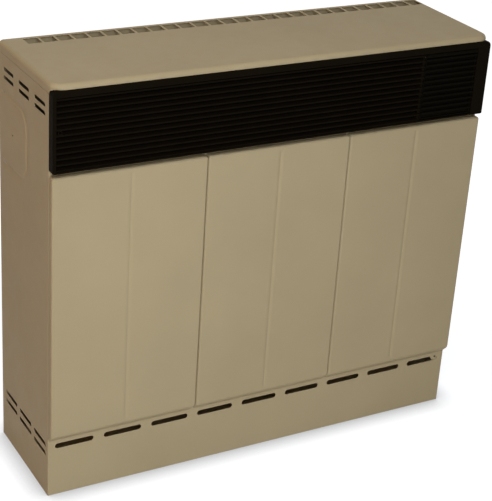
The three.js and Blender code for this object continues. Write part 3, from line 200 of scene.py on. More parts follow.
def stove_enamel(name, colour, roughness):
    """Satin paint baked on steel: a faint cloudiness, orange peel and fine grain."""
    s = Shader(name)
    cloud = s.remap(s.noise(CLOUD_SCALE, 3), 0.3, 0.7, 0.0, 1.0)
    grain = s.remap(s.noise(GRAIN_SCALE, 2), 0.35, 0.65, 0.0, 1.0)
    base = s.mix(cloud, scaled(colour, 0.93), scaled(colour, 1.05))
    speck = s.mix(grain, scaled(colour, 0.97), scaled(colour, 1.02))
    blend = s.add("Mix", data_type="RGBA")
    blend.inputs["Factor"].default_value = 0.45
    s.link(base, blend.inputs[6])
    s.link(speck, blend.inputs[7])
    rough = s.remap(s.noise(PATCH_SCALE, 3), 0.3, 0.7, roughness - 0.05, roughness + 0.05)
    peel = s.bump(s.noise(PEEL_SCALE, 2), PEEL_HEIGHT, 0.5)
    fine = s.bump(s.noise(FINE_SCALE, 2), FINE_HEIGHT, 0.5, peel)
    return s.principled(blend.outputs[2], rough, fine, specular_ior_level=PAINT_SHINE)


def dark_finish(name, colour, roughness, grain, depth, shine=0.02):
    """Black paint or moulded plastic with a fine texture and a little dust."""
    s = Shader(name)
    dust = s.remap(s.noise(25, 4, 0.6), 0.45, 0.8, 0.0, 0.35)
    base = s.mix(dust, colour, scaled(colour, 1.5))
    rough = s.remap(s.noise(140, 3), 0.3, 0.7, roughness - 0.06, roughness + 0.06)
    return s.principled(base, rough, s.bump(s.noise(grain, 2), depth, 0.6), specular_ior_level=shine)


def plated_steel(name, colour, roughness, brush=(1, 1, 18), spangle=90.0):
    """Rolled or plated sheet: soft spangle, fine lines along the sheet, dulled in patches."""
    s = Shader(name)
    cells = s.add("TexVoronoi")
    cells.inputs["Scale"].default_value = spangle
    s.link(s.place(), cells.inputs["Vector"])
    tint = s.remap(cells.outputs["Color"], 0.0, 1.0, 0.0, 1.0)
    patch = s.mix(tint, scaled(colour, 0.86), scaled(colour, 1.08))
    stain = s.remap(s.noise(9, 4, 0.6), 0.4, 0.75, 0.0, 0.5)
    base = s.mix(stain, patch, scaled(colour, 0.7))
    rough = s.remap(s.noise(45, 4), 0.3, 0.7, roughness - 0.08, roughness + 0.1)
    lines = s.bump(s.noise(500, 2, 0.5, brush), LINE_HEIGHT, 0.5)
    return s.principled(base, rough, lines, metallic=1.0)


def bare_metal(name, colour, roughness):
    """Turned brass or drawn copper tube with tarnish."""
    s = Shader(name)
    tarnish = s.remap(s.noise(40, 4, 0.6), 0.4, 0.75, 0.0, 0.8)
    base = s.mix(tarnish, colour, scaled(colour, 0.55))
    rough = s.remap(s.noise(110, 3), 0.3, 0.7, roughness - 0.08, roughness + 0.15)
    return s.principled(base, rough, s.bump(s.noise(700, 2), LINE_HEIGHT, 0.5), metallic=1.0)


def fired_clay(name, colour, roughness, grain, depth):
    """Ceramic or pressed fibre: matt, mottled, with a fine grain."""
    s = Shader(name)
    spots = s.remap(s.noise(300, 4, 0.6), 0.4, 0.7, 0.0, 1.0)
    base = s.mix(spots, colour, scaled(colour, 0.85))
    rough = s.remap(s.noise(90, 3), 0.3, 0.7, roughness - 0.08, roughness + 0.08)
    return s.principled(base, rough, s.bump(s.noise(grain, 3), depth, 0.7))


def sight_glass(name):
    """Heat-proof glass with a light brown tint."""
    s = Shader(name)
    rough = s.remap(s.noise(80, 3), 0.3, 0.7, 0.03, 0.1)
    tint = s.mix(s.noise(30, 2), (0.62, 0.5, 0.32), (0.7, 0.6, 0.42))
    normal = s.bump(s.noise(400, 2), 0.01 * MM, 0.3)
    return s.principled(tint, rough, normal, transmission_weight=0.9, ior=1.47)


BEIGE = stove_enamel("beige_paint", linear(168, 154, 127), 0.46)
BLACK = dark_finish("black_paint", (0.0062, 0.0044, 0.0027), 0.5, 700, 0.03 * MM, 0.006)
PLASTIC = dark_finish("black_plastic", (0.0042, 0.0036, 0.0022), 0.45, 1200, 0.02 * MM, 0.008)
ZINC = plated_steel("zinc_steel", (0.43, 0.44, 0.45), 0.45)
# A dark brown for aluminised steel, set dark as painted shade for the insides seen through the grille, the
# louvres and the slots.
ALUMINISED = plated_steel("aluminised_steel", (0.26, 0.2, 0.135), 0.55, (18, 1, 1), 60.0)
ENAMEL = dark_finish("dark_enamel", (0.05, 0.032, 0.022), 0.6, 500, 0.05 * MM)
PRIMER = stove_enamel("brown_primer", (0.55, 0.36, 0.18), 0.6)
BRASS = bare_metal("brass", (0.62, 0.45, 0.17), 0.3)
COPPER = bare_metal("copper", (0.62, 0.3, 0.17), 0.32)
RUBBER = dark_finish("black_rubber", (0.022, 0.022, 0.022), 0.7, 900, 0.03 * MM)
FIBRE = fired_clay("fibre", (0.58, 0.55, 0.48), 0.9, 900, 0.1 * MM)
GLASS = sight_glass("clear_glass")
CERAMIC = fired_clay("white_ceramic", (0.8, 0.78, 0.72), 0.35, 1500, 0.01 * MM)

FINISH_OF = {
    "beige_paint": BEIGE, "black_paint": BLACK, "black_plastic": PLASTIC, "zinc_steel": ZINC,
    "aluminised_steel": ALUMINISED, "dark_enamel": ENAMEL, "brass": BRASS, "copper": COPPER,
    "black_rubber": RUBBER, "fibre": FIBRE, "clear_glass": GLASS, "white_ceramic": CERAMIC,
    "brown_primer": PRIMER,
}


def finish_of_node(name):
    """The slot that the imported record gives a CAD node."""
    return next(part["material_slot"] for part in frame["record"]["subparts"] if part["node"] == name)


# ---- Outlines, each a list of points that goes round once
SLOT_END_FLAT, SLOT_END_STEPS = 0.01 * MM, 8


def arc(u, v, radius, start, end, steps):
    turns = [radians(start + (end - start) * i / steps) for i in range(steps + 1)]
    return [(u + radius * cos(a), v + radius * sin(a)) for a in turns]


def circle(radius, steps, u=0, v=0):
    return arc(u, v, radius, 0, 360 - 360 / steps, steps - 1)


def box_outline(u0, u1, v0, v1):
    return [(u0, v0), (u1, v0), (u1, v1), (u0, v1)]


def round_box(u0, u1, v0, v1, radius, steps=6, lower=None):
    """A box with round corners, from the lower right one. The two lower ones may have their own radius."""
    foot = radius if lower is None else lower
    corners = ((u1 - foot, v0 + foot, foot, -90), (u1 - radius, v1 - radius, radius, 0),
               (u0 + radius, v1 - radius, radius, 90), (u0 + foot, v0 + foot, foot, 180))
    loop = []
    for u, v, own, start in corners:
        for point in arc(u, v, own, start, start + 90, steps):
            if not loop or Vector(point) != Vector(loop[-1]):
                loop.append(point)
    return loop


def slot_outline(u, v, length, height):
    """A slot with round ends. They stop just short of full half circles, so that no two points meet."""
    radius = height / 2 - SLOT_END_FLAT
    return round_box(u - length / 2, u + length / 2, v - height / 2, v + height / 2, radius, SLOT_END_STEPS)


# ---- Mesh helpers
ON_FRONT = Matrix.Rotation(radians(90), 4, "X")
ON_SIDE = Matrix(((0, 0, 1, 0), (1, 0, 0, 0), (0, 1, 0, 0), (0, 0, 0, 1)))
ON_TOP = Matrix.Identity(4)
SAME_PLACE = 0.001 * MM


def plate(outline, holes, thickness, edge, turn, offset):
    """A flat plate with rounded edges. Its middle plane is moved by offset after it is turned."""
    curve = bpy.data.curves.new("plate", "CURVE")
    curve.dimensions, curve.fill_mode = "2D", "BOTH"
    curve.extrude, curve.bevel_depth, curve.offset = thickness / 2 - edge, edge, -edge
    curve.bevel_resolution = 1
    for loop in (outline, *holes):
        spline = curve.splines.new("POLY")
        spline.points.add(len(loop) - 1)
        for point, (u, v) in zip(spline.points, loop):
            point.co = (u, v, 0, 1)
        spline.use_cyclic_u = True
    carrier = bpy.data.objects.new("plate", curve)
    bpy.context.scene.collection.objects.link(carrier)
    mesh = bpy.data.meshes.new_from_object(carrier.evaluated_get(bpy.context.evaluated_depsgraph_get()))
    bpy.data.objects.remove(carrier)
    bpy.data.curves.remove(curve)
    mesh.transform(Matrix.Translation(offset) @ turn)
    return mesh


def flat(outline, holes, turn):
    """A flat face, one face thick, with holes in it."""
    return plate(outline, holes, 0, 0, turn, (0, 0, 0))


def front_plate(outline, holes, y0, y1, edge=EDGE):
    """A plate drawn in X and Z, from y0 back to y1."""
    return plate(outline, holes, y1 - y0, edge, ON_FRONT, (0, (y0 + y1) / 2, 0))


def side_plate(outline, holes, x0, x1, edge=EDGE):
    """A plate drawn in Y and Z, from x0 to x1."""
    return plate(outline, holes, x1 - x0, edge, ON_SIDE, ((x0 + x1) / 2, 0, 0))


def level_plate(outline, holes, z0, z1, edge=EDGE):
    """A plate drawn in X and Y, from z0 up to z1."""
    return plate(outline, holes, z1 - z0, edge, ON_TOP, (0, 0, (z0 + z1) / 2))


def joined(meshes):
    """One bmesh out of several meshes."""
    bm = bmesh.new()
    for mesh in meshes:
        bm.from_mesh(mesh)
        bpy.data.meshes.remove(mesh)
    bmesh.ops.remove_doubles(bm, verts=bm.verts, dist=SAME_PLACE)
    return bm


def bridge(bm, rings, closed):
    """Faces between neighbouring rows of vertices."""
    count = len(rings[0])
    for lower, upper in zip(rings, rings[1:]):
        for i in range(count if closed else count - 1):
            j = (i + 1) % count
            bm.faces.new((lower[i], lower[j], upper[j], upper[i]))


def swept(profile, x0, x1, closed=True):
    """A profile drawn in Y and Z, pushed along X, with its ends closed."""
    bm = bmesh.new()
    rings = [[bm.verts.new((x, y, z)) for y, z in profile] for x in (x0, x1)]
    bridge(bm, rings, closed)
    if closed:
        bm.faces.new(rings[0])
        bm.faces.new(rings[1])
    bmesh.ops.recalc_face_normals(bm, faces=bm.faces)
    return bm


def ring_of(bm, outline, y, centre):
    """Vertices for an outline drawn in X and Z round a centre, at some Y."""
    return [bm.verts.new((centre.x + u, y, centre.z + v)) for u, v in outline]


def close_ends(bm, rings):
    """Joins the rings and closes the first and the last one, so that they make one solid."""
    bridge(bm, rings, closed=True)
    bm.faces.new(rings[0])
    bm.faces.new(rings[-1])
    bmesh.ops.recalc_face_normals(bm, faces=bm.faces)


def outward(bm, direction):
    """Turns all faces the same way round, with the largest one facing the direction."""
    bmesh.ops.recalc_face_normals(bm, faces=bm.faces)
    if max(bm.faces, key=lambda face: face.calc_area()).normal.dot(direction) < 0:
        bmesh.ops.reverse_faces(bm, faces=bm.faces)


def mesh_of(bm, name="part"):
    mesh = bpy.data.meshes.new(name)
    bm.to_mesh(mesh)
    bm.free()
    return mesh


BEVEL_ANGLE = 40


def piece(name, source, slot, body="root", replaced=(), thickness=None, bevel=None, angle=35):
    """A finished piece from a mesh or bmesh: its modifiers, smooth shading, finish and body."""
    mesh = mesh_of(source, name) if isinstance(source, bmesh.types.BMesh) else source
    mesh.name = name
    mesh.materials.clear()
    mesh.materials.append(FINISH_OF[slot])
    mesh.shade_smooth()
    mesh.set_sharp_from_angle(angle=radians(angle))
    result = bpy.data.objects.new(name, mesh)
    bpy.context.scene.collection.objects.link(result)
    if thickness:
        shell = result.modifiers.new("sheet", "SOLIDIFY")
        shell.thickness, shell.offset, shell.use_even_offset = thickness, -1, True
    if bevel:
        soften = result.modifiers.new("edges", "BEVEL")
        soften.width, soften.segments, soften.limit_method = bevel, 2, "ANGLE"
        soften.angle_limit, soften.use_clamp_overlap = radians(BEVEL_ANGLE), True
    result.modifiers.new("normals", "WEIGHTED_NORMAL").keep_sharp = True
    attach(result, body)
    if replaced:
        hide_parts(*replaced)
    return result


# ---- Top cover
COVER_ROLL = 7 * MM
COVER_CORNER = 20 * MM
COVER_FRONT_HEIGHT, COVER_STEP_TURN = 8 * MM, 1.2
LOUVRES = 28
LOUVRE_WIDTH, LOUVRE_LENGTH = 20.8 * MM, 23.5 * MM
LOUVRE_LEFT, LOUVRE_RIGHT, LOUVRE_BACK = 44.5 * MM, 16.7 * MM, 6 * MM
LOUVRE_CORNER, LOUVRE_CORNER_STEPS = 1.2 * MM, 3
COVER_ROLL_STEPS, COVER_BEVEL = 8, 0.5 * MM
louvre_back = wall_y - LOUVRE_BACK
louvre_front = louvre_back - LOUVRE_LENGTH


def cover_plan(inset):
    """The cover's plan from the wall along the left, front and right, set in by some amount.

    Two points of each corner lie on either side of the front of the casing, where the lip steps up."""
    x0, x1, y0 = cover_low.x + inset, cover_high.x - inset, cover_low.y + inset
    radius = COVER_CORNER - inset
    step = degrees(asin((cover_low.y + COVER_CORNER - face_y) / COVER_CORNER))
    turns = [0, step / 2, step - COVER_STEP_TURN, step + COVER_STEP_TURN, 27, 38, 50, 62, 75, 90]
    stops = (wall_y, louvre_back - LOUVRE_CORNER, louvre_front + LOUVRE_CORNER)
    half = [(radius - radius * cos(radians(t)), radius - radius * sin(radians(t))) for t in turns]
    left = [(x0, y) for y in stops] + [(x0 + u, y0 + v) for u, v in half]
    return left + [(x1 + x0 - x, y) for x, y in left[::-1]]


def top_cover():
    bm = bmesh.new()
    top, roll = cover_high.z, COVER_ROLL
    lip = top - COVER_FRONT_HEIGHT
    foot = [(x, y, lip - corner_drop(x) if y < face_y else cover_low.z) for x, y in cover_plan(0)]
    rows = [[bm.verts.new(point) for point in foot]]
    for step in range(COVER_ROLL_STEPS + 1):
        turn = radians(90 * step / COVER_ROLL_STEPS)
        inset, z = roll * (1 - cos(turn)), top - roll + roll * sin(turn)
        rows.append([bm.verts.new((x, y, z)) for x, y in cover_plan(inset)])
    bridge(bm, rows, closed=False)
    bm.faces.new([row[0] for row in rows] + [row[-1] for row in rows[::-1]])
    edge = rows[-1]
    holes = [[bm.verts.new((x, y, top)) for x, y in loop] for loop in louvre_outlines()]
    steps = LOUVRE_CORNER_STEPS + 1
    front, back = list(edge[2:-2]), [edge[-1], edge[0]]
    for hole in holes[::-1]:
        front += hole[:steps][::-1] + hole[-steps:][::-1]
    back_line = [edge[1]]
    for hole in holes:
        back_line += hole[2 * steps:3 * steps][::-1] + hole[steps:2 * steps][::-1]
    bm.faces.new(front)
    bm.faces.new(back + back_line + [edge[-2]])
    bm.faces.new((edge[1], edge[2], holes[0][-steps], holes[0][3 * steps - 1]))
    bm.faces.new((edge[-2], edge[-3], holes[-1][steps - 1], holes[-1][steps]))
    for one, other in zip(holes, holes[1:]):
        bm.faces.new((one[steps], one[steps - 1], other[-steps], other[3 * steps - 1]))
    outward(bm, Vector((0, 0, 1)))
    piece("top_cover_shell", bm, "beige_paint", replaced=["top_cover"], thickness=SHEET, bevel=COVER_BEVEL)


def corner_drop(x):
    """How far the cover's lip comes down beside the grille's round corner."""
    inward = GRILLE_CORNER - min(x - cover_low.x, cover_high.x - x)
    return 0 if inward < 0 else GRILLE_CORNER - sqrt(GRILLE_CORNER ** 2 - inward ** 2)


def louvre_outlines():
    """Each louvre's outline from its front right corner round to its front left corner."""
    first, last = cover_low.x + LOUVRE_LEFT, cover_high.x - LOUVRE_RIGHT
    half = LOUVRE_WIDTH / 2
    for i in range(LOUVRES):
        x = first + (last - first) * i / (LOUVRES - 1)
        end = min(x + half, cover_high.x - COVER_ROLL - EDGE)
        yield round_box(x - half, end, louvre_front, louvre_back, LOUVRE_CORNER, LOUVRE_CORNER_STEPS)


# ---- Side panels
SIDE_SLOTS = 3
SIDE_SLOT_FIRST, SIDE_SLOT_PITCH = 33 * MM, 60.5 * MM
UPPER_SLOT, UPPER_SLOT_DROPS = (40 * MM, 6 * MM), (33.5 * MM, 21 * MM)
LOWER_SLOT, LOWER_SLOT_HEIGHTS = (50 * MM, 7 * MM), (70.5 * MM, 86 * MM)
KNOCKOUT_DEPTH, KNOCKOUT_HEIGHT, KNOCKOUT_DROP = 110 * MM, 109 * MM, 127 * MM
KNOCKOUT_CORNER, PRESS_DEPTH, DIMPLE_DEPTH = 30 * MM, 1.6 * MM, 0.8 * MM
DIP_START, DIP_END, RISE_START, RISE_END = -15 * MM, 0.5 * MM, 1.2 * MM, 6 * MM
PRESS_FADE, PRESS_FLARE = 14 * MM, 0.4 * MM
PRESS_STEPS, PRESS_CORNER_STEPS = 6, 10
SIDE_FOLD, SIDE_FOLD_STEPS, SIDE_SHEET, SIDE_BEVEL = 2 * MM, 6, 0.8 * MM, 0.36 * MM
DIMPLE_INSET, DIMPLE_RADIUS, DIMPLE_STEPS = 52 * MM, 4 * MM, 24


def knockout(inset):
    """The knock-out's outline from its upper to its lower end, a little wider where it meets the wall."""
    middle = cover_high.z - KNOCKOUT_DROP
    y0 = wall_y - KNOCKOUT_DEPTH + inset
    half, radius = KNOCKOUT_HEIGHT / 2 - inset, KNOCKOUT_CORNER - inset
    upper = arc(y0 + radius, middle + half - radius, radius, 90, 180, PRESS_CORNER_STEPS)
    lower = arc(y0 + radius, middle - half + radius, radius, 180, 270, PRESS_CORNER_STEPS)
    top, bottom, before = middle + half, middle - half, wall_y - PRESS_FADE
    first = [(wall_y, top + PRESS_FLARE), (before, top)]
    last = [(before, bottom), (wall_y, bottom - PRESS_FLARE)]
    return first + upper + lower + last


def pressed_steps():
    """The inset and depth of each row round the knock-out: a gentle dip, then a short rise."""
    parts = [i / PRESS_STEPS for i in range(PRESS_STEPS + 1)]
    for part in parts:
        yield DIP_START + (DIP_END - DIP_START) * part, PRESS_DEPTH * part * part * (3 - 2 * part)
    for part in parts:
        yield RISE_START + (RISE_END - RISE_START) * part, PRESS_DEPTH * (1 - part * part * (3 - 2 * part))


def side_panel(node, side):
    """A sheet with slots, a front edge folded in, and the pressed outline of the flue's knock-out."""
    low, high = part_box(node)
    slots = []
    for i in range(SIDE_SLOTS):
        y = face_y + SIDE_SLOT_FIRST + i * SIDE_SLOT_PITCH
        slots += [slot_outline(y, cover_low.z - drop, *UPPER_SLOT) for drop in UPPER_SLOT_DROPS]
        slots += [slot_outline(y, z, *LOWER_SLOT) for z in LOWER_SLOT_HEIGHTS]
    outer = high.x if side > 0 else low.x
    turn = Matrix(((0, 0, -side, outer), (1, 0, 0, 0), (0, 1, 0, 0), (0, 0, 0, 1)))
    fold = face_y + SIDE_FOLD
    steps = list(pressed_steps())
    rows = [knockout(inset) for inset, depth in steps]
    outline = [(wall_y, high.z)] + rows[0] + [(wall_y, low.z), (fold, low.z), (fold, high.z)]
    dimple = (wall_y - DIMPLE_INSET, cover_high.z - KNOCKOUT_DROP)
    rims = [circle(radius, DIMPLE_STEPS, *dimple) for radius in (DIMPLE_RADIUS, DIMPLE_RADIUS / 3)]
    bm = bmesh.new()
    for mesh in (flat(outline, slots, ON_TOP), flat(rows[-1], [rims[0]], ON_TOP)):
        bm.from_mesh(mesh)
        bpy.data.meshes.remove(mesh)
    bridge(bm, [[bm.verts.new((u, v, depth if u < wall_y else 0)) for u, v in row]
                for row, (inset, depth) in zip(rows, steps)], closed=False)
    cone = [[bm.verts.new((u, v, depth)) for u, v in rim] for rim, depth in zip(rims, (0, DIMPLE_DEPTH))]
    bridge(bm, cone, closed=True)
    turns = [radians(90 * i / SIDE_FOLD_STEPS) for i in range(SIDE_FOLD_STEPS + 1)]
    curl = [(fold - SIDE_FOLD * sin(t), SIDE_FOLD * (1 - cos(t))) for t in turns]
    bridge(bm, [[bm.verts.new((u, z, depth)) for z in (low.z, high.z)] for u, depth in curl], closed=False)
    bmesh.ops.remove_doubles(bm, verts=bm.verts, dist=2 * SAME_PLACE)
    bm.transform(turn)
    outward(bm, Vector((side, 0, 0)))
    piece(node + "_sheet", bm, "beige_paint", replaced=[node], thickness=SIDE_SHEET, bevel=SIDE_BEVEL)


# ---- Plinth
PLINTH_SLOTS = 9
PLINTH_SLOT, PLINTH_SLOT_INSET = (62 * MM, 8.6 * MM), 42.6 * MM
PLINTH_SLOT_HEIGHT = 86 * MM


def plinth():
    low, high = plinth_low, plinth_high
    slots = []
    first, last = left_low.x + PLINTH_SLOT_INSET, right_high.x - PLINTH_SLOT_INSET
    for i in range(PLINTH_SLOTS):
        x = first + (last - first) * i / (PLINTH_SLOTS - 1)
        slots.append(slot_outline(x, PLINTH_SLOT_HEIGHT, *PLINTH_SLOT))
    flange = box_outline(low.y + EDGE, high.y, low.z, high.z)
    shelf = box_outline(low.x, high.x, low.y + EDGE, high.y)
    meshes = [
        front_plate(box_outline(low.x, high.x, low.z, high.z), slots, low.y, low.y + SHEET),
        side_plate(flange, [], low.x, low.x + SHEET), side_plate(flange, [], high.x - SHEET, high.x),
        level_plate(shelf, [], low.z, low.z + SHEET), level_plate(shelf, [], high.z - SHEET, high.z),
    ]
    piece("plinth_sheet", joined(meshes), "beige_paint", replaced=["plinth_front"])


# Sizes of a dark plug that paints shade into the right bracket's round hole.
SHADE_PLUG_INSET, SHADE_PLUG_HEIGHT, SHADE_PLUG_RADIUS, SHADE_PLUG_STEPS = 15.5 * MM, 88 * MM, 1.9 * MM, 24
# Each ring of the dark plug, as a share of its radius and a depth
SHADE_PLUG_RINGS = ((0.4, 0.3 * MM), (0.8, 0.45 * MM), (1.0, 0.8 * MM), (1.0, 6 * MM))


def painted_shade_plug():
    """A dark plug in the round hole of the right bracket, seen past the end of the last slot: painted shade,
    so that the hole doesn't show the lit web behind it.
    """
    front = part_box("plinth_bracket_right")[0].y
    centre = Vector((right_high.x - SHADE_PLUG_INSET, 0, SHADE_PLUG_HEIGHT))
    bm = bmesh.new()
    close_ends(bm, [ring_of(bm, circle(share * SHADE_PLUG_RADIUS, SHADE_PLUG_STEPS), front + depth, centre)
                    for share, depth in SHADE_PLUG_RINGS])
    piece("painted_shade_plug", bm, "black_rubber")


# ---- Front panels
PANEL_CORNER, PANEL_ROLL = 4 * MM, 3.4 * MM
PANEL_EDGE_HEIGHT = 109 * MM
GROOVE_WIDTH, GROOVE_DEPTH, GROOVE_END = 4.4 * MM, 1.25 * MM, 6 * MM
GROOVE_TAPER = 2.4 * GROOVE_WIDTH
PANEL_EDGE_STEPS = 5
HOOK_WIDTH, HOOK_SPREAD, HOOK_DROP, HOOK_LEG, HOOK_BEVEL = 20 * MM, 60 * MM, 18 * MM, 8 * MM, 0.2 * MM


def front_panel(node):
    """A pan with rounded corners, rolled edges and a pressed groove down its middle, on two hooks."""
    low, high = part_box(node)
    bm = bmesh.new()
    front, back = low.y, pan_back_y
    middle, half = (low.x + high.x) / 2, GROOVE_WIDTH / 2
    z0, z1 = PANEL_EDGE_HEIGHT, high.z
    g0, g1 = z0 + GROOVE_END, z1 - GROOVE_END

    def vertex(x, y, z):
        return bm.verts.new((x, y, z))

    edge_left = [vertex(low.x, front, z) for z in (z0, g0, g1, z1)]
    edge_right = [vertex(high.x, front, z) for z in (z0, g0, g1, z1)]
    left = [vertex(middle - half, front, z) for z in (g0, g1)]
    right = [vertex(middle + half, front, z) for z in (g0, g1)]
    valley = [vertex(middle, front + GROOVE_DEPTH, z) for z in (g0 + GROOVE_TAPER, g1 - GROOVE_TAPER)]
    ends = [vertex(middle, front, z) for z in (g0, g1)]
    back_low = [vertex(x, back, low.z) for x in (low.x, high.x)]
    back_high = [vertex(x, back, z1) for x in (low.x, high.x)]
    faces = [
        (edge_left[0], edge_right[0], edge_right[1], right[0], ends[0], left[0], edge_left[1]),
        (edge_left[1], left[0], left[1], edge_left[2]),
        (right[0], edge_right[1], edge_right[2], right[1]),
        (edge_left[2], left[1], ends[1], right[1], edge_right[2], edge_right[3], edge_left[3]),
        (left[0], ends[0], valley[0]), (ends[0], right[0], valley[0]),
        (left[1], valley[1], ends[1]), (ends[1], valley[1], right[1]),
        (left[0], valley[0], valley[1], left[1]), (valley[0], right[0], right[1], valley[1]),
        (edge_left[0], edge_left[1], edge_left[2], edge_left[3], back_high[0], back_low[0]),
        (edge_right[3], edge_right[2], edge_right[1], edge_right[0], back_low[1], back_high[1]),
        (edge_left[3], edge_right[3], back_high[1], back_high[0]),
        (edge_right[0], edge_left[0], back_low[0], back_low[1]),
    ]
    for face in faces:
        bm.faces.new(face)
    outward(bm, Vector((0, -1, 0)))
    corner_pairs = ((edge_left[3], back_high[0]), (edge_right[3], back_high[1]),
                    (edge_left[0], back_low[0]), (edge_right[0], back_low[1]))
    corners = [bm.edges.get(pair) for pair in corner_pairs]
    rounding = {"segments": PANEL_EDGE_STEPS, "profile": 0.5, "affect": "EDGES"}
    bmesh.ops.bevel(bm, geom=corners, offset=PANEL_CORNER, **rounding)
    rim = [e for e in bm.edges if len(e.link_faces) == 2 and is_pan_rim(e, front)]
    bmesh.ops.bevel(bm, geom=rim, offset=PANEL_ROLL, **rounding)
    bmesh.ops.remove_doubles(bm, verts=bm.verts, dist=SAME_PLACE)
    hooks = [hook(middle + side * HOOK_SPREAD, front, high) for side in (-1, 1)]
    name = node + "_pan"
    piece(name, bm, "beige_paint", replaced=[node], thickness=SHEET, angle=50)
    piece(name + "_hooks", joined(hooks), "beige_paint", bevel=HOOK_BEVEL)


def is_pan_rim(edge, front):
    """True for an edge between the flat front and the pan's side, top or bottom, or a wall of the groove."""
    on_front = all(abs(v.co.y - front) < 0.01 * MM for v in edge.verts)
    facing = sorted(abs(face.normal.y) for face in edge.link_faces)
    return on_front and facing[1] > 0.99 and facing[0] < 0.9


def hook(x, front, high):
    """A strip bent down behind the panel."""
    z = high.z - HOOK_DROP
    x0, x1 = x - HOOK_WIDTH / 2, x + HOOK_WIDTH / 2
    profile = [(front + SHEET, z), (high.y, z), (high.y, z - HOOK_LEG), (high.y - SHEET, z - HOOK_LEG),
               (high.y - SHEET, z - SHEET), (front + SHEET, z - SHEET)]
    return mesh_of(swept(profile, x0, x1))


# ---- Grille
GRILLE_CORNER, GRILLE_LOWER_CORNER, GRILLE_BEVEL, GRILLE_WALL = 8 * MM, 2.5 * MM, 1.2 * MM, 3 * MM
GRILLE_SIDE, GRILLE_TOP, GRILLE_BOTTOM = 5 * MM, 9.5 * MM, 2.6 * MM
FLAP_GAP, JAMB = 0.5 * MM, 4 * MM
SLATS, SLAT_HEIGHT, SLAT_DEPTH, SLAT_TILT = 13, 3.2 * MM, 9 * MM, 18
SLAT_SETBACK, SLAT_END_GAP, RIBS, RIB = 1.2 * MM, 2.06 * MM, 3, 1.6 * MM
SLAT_NOSE, JAMB_SETBACK = 0.7 * MM, 3 * MM
GRILLE_EDGE_STEPS, GRILLE_SHEET, GRILLE_SOFT, WINDOW_CORNER = 4, 2 * MM, 0.4 * MM, 0.8 * MM
BOSS_RADIUS, BOSS_INSET, BOSS_WALL, BOSS_STEPS = 3.4 * MM, 11 * MM, 1.4 * MM, 24
FINE_EDGE = 0.2 * MM
open_top, open_bottom = grille_high.z - GRILLE_TOP, grille_low.z + GRILLE_BOTTOM
flap_open = (flap_low.x - FLAP_GAP, flap_high.x + FLAP_GAP)


def slat_heights():
    first = open_top - SLAT_END_GAP
    last = open_bottom + SLAT_END_GAP
    return [first + (last - first) * i / (SLATS - 1) for i in range(SLATS)]


def slat_profile(z, front):
    """A slat's section with a round nose, rising to the back."""
    half, nose, reach = SLAT_HEIGHT / 2, SLAT_NOSE, SLAT_DEPTH / 2
    points = arc(-reach + nose, half - nose, nose, 90, 180, 4)
    points += arc(-reach + nose, -half + nose, nose, 180, 270, 4)
    points += [(reach, -half), (reach, half)]
    turn = radians(SLAT_TILT)
    y0 = front + SLAT_SETBACK + reach
    return [(y0 + y * cos(turn) - v * sin(turn), z + y * sin(turn) + v * cos(turn)) for y, v in points]


def front_grille():
    """The surround with its window, then the slats, then the ribs, jambs and screw bosses behind them."""
    low, high = grille_low, grille_high
    back = pan_back_y
    bm = bmesh.new()
    rows = []
    for step in range(-1, GRILLE_EDGE_STEPS + 1):
        turn = radians(90 * max(step, 0) / GRILLE_EDGE_STEPS)
        inset, y = GRILLE_BEVEL * (1 - cos(turn)), low.y + GRILLE_BEVEL * (1 - sin(turn))
        loop = round_box(low.x + inset, high.x - inset, low.z + inset, high.z - inset, GRILLE_CORNER - inset,
                         lower=GRILLE_LOWER_CORNER - inset)
        rows.append([bm.verts.new((x, back if step < 0 else y, z)) for x, z in loop])
    bridge(bm, rows, closed=True)
    edge = rows[-1]
    rim = [bm.edges.get((a, b)) for a, b in zip(edge, edge[1:] + edge[:1])]
    main_right = flap_open[0] - JAMB
    window = round_box(low.x + GRILLE_SIDE, flap_open[1], open_bottom, open_top, WINDOW_CORNER, 3)
    ring = [bm.verts.new((x, low.y, z)) for x, z in window]
    rim += [bm.edges.new((a, b)) for a, b in zip(ring, ring[1:] + ring[:1])]
    bmesh.ops.triangle_fill(bm, use_beauty=True, use_dissolve=True, edges=rim)
    outward(bm, Vector((0, -1, 0)))
    piece("grille_surround", bm, "black_paint", replaced=["front_grille"], thickness=GRILLE_SHEET,
          bevel=GRILLE_SOFT)

    profiles = [slat_profile(z, low.y) for z in slat_heights()]
    bars = [mesh_of(swept(profile, low.x + GRILLE_WALL / 2, flap_open[0])) for profile in profiles]
    piece("grille_slats", joined(bars), "black_paint", angle=50)
    uprights = []
    rib_y0 = low.y + SLAT_DEPTH
    left = low.x + GRILLE_SIDE
    for i in range(1, RIBS + 1):
        x = left + (main_right - left) * i / (RIBS + 1)
        rib = box_outline(rib_y0, back, open_bottom, open_top)
        uprights.append(side_plate(rib, [], x, x + RIB, FINE_EDGE))
    for x, y0 in ((main_right, low.y + JAMB_SETBACK), (flap_open[1], low.y + GRILLE_BEVEL)):
        box = box_outline(x, x + JAMB, low.z + GRILLE_WALL, high.z - GRILLE_WALL)
        uprights.append(front_plate(box, [], y0, back, FINE_EDGE))
    for x in (low.x + BOSS_INSET, high.x - BOSS_INSET):
        ring = circle(BOSS_RADIUS, BOSS_STEPS, x, (low.z + high.z) / 2)
        hole = circle(BOSS_RADIUS - BOSS_WALL, BOSS_STEPS // 2, x, (low.z + high.z) / 2)
        uprights.append(front_plate(ring, [hole], low.y + GRILLE_BEVEL, back, FINE_EDGE))
    piece("grille_ribs", joined(uprights), "black_paint")


# ---- Control flap
FLAP_THICKNESS, FLAP_GROOVE, FLAP_BORDER, FLAP_BORDER_SETBACK = 8 * MM, 5.5 * MM, 2.4 * MM, 2.5 * MM
BORDER_EDGE = 0.3 * MM


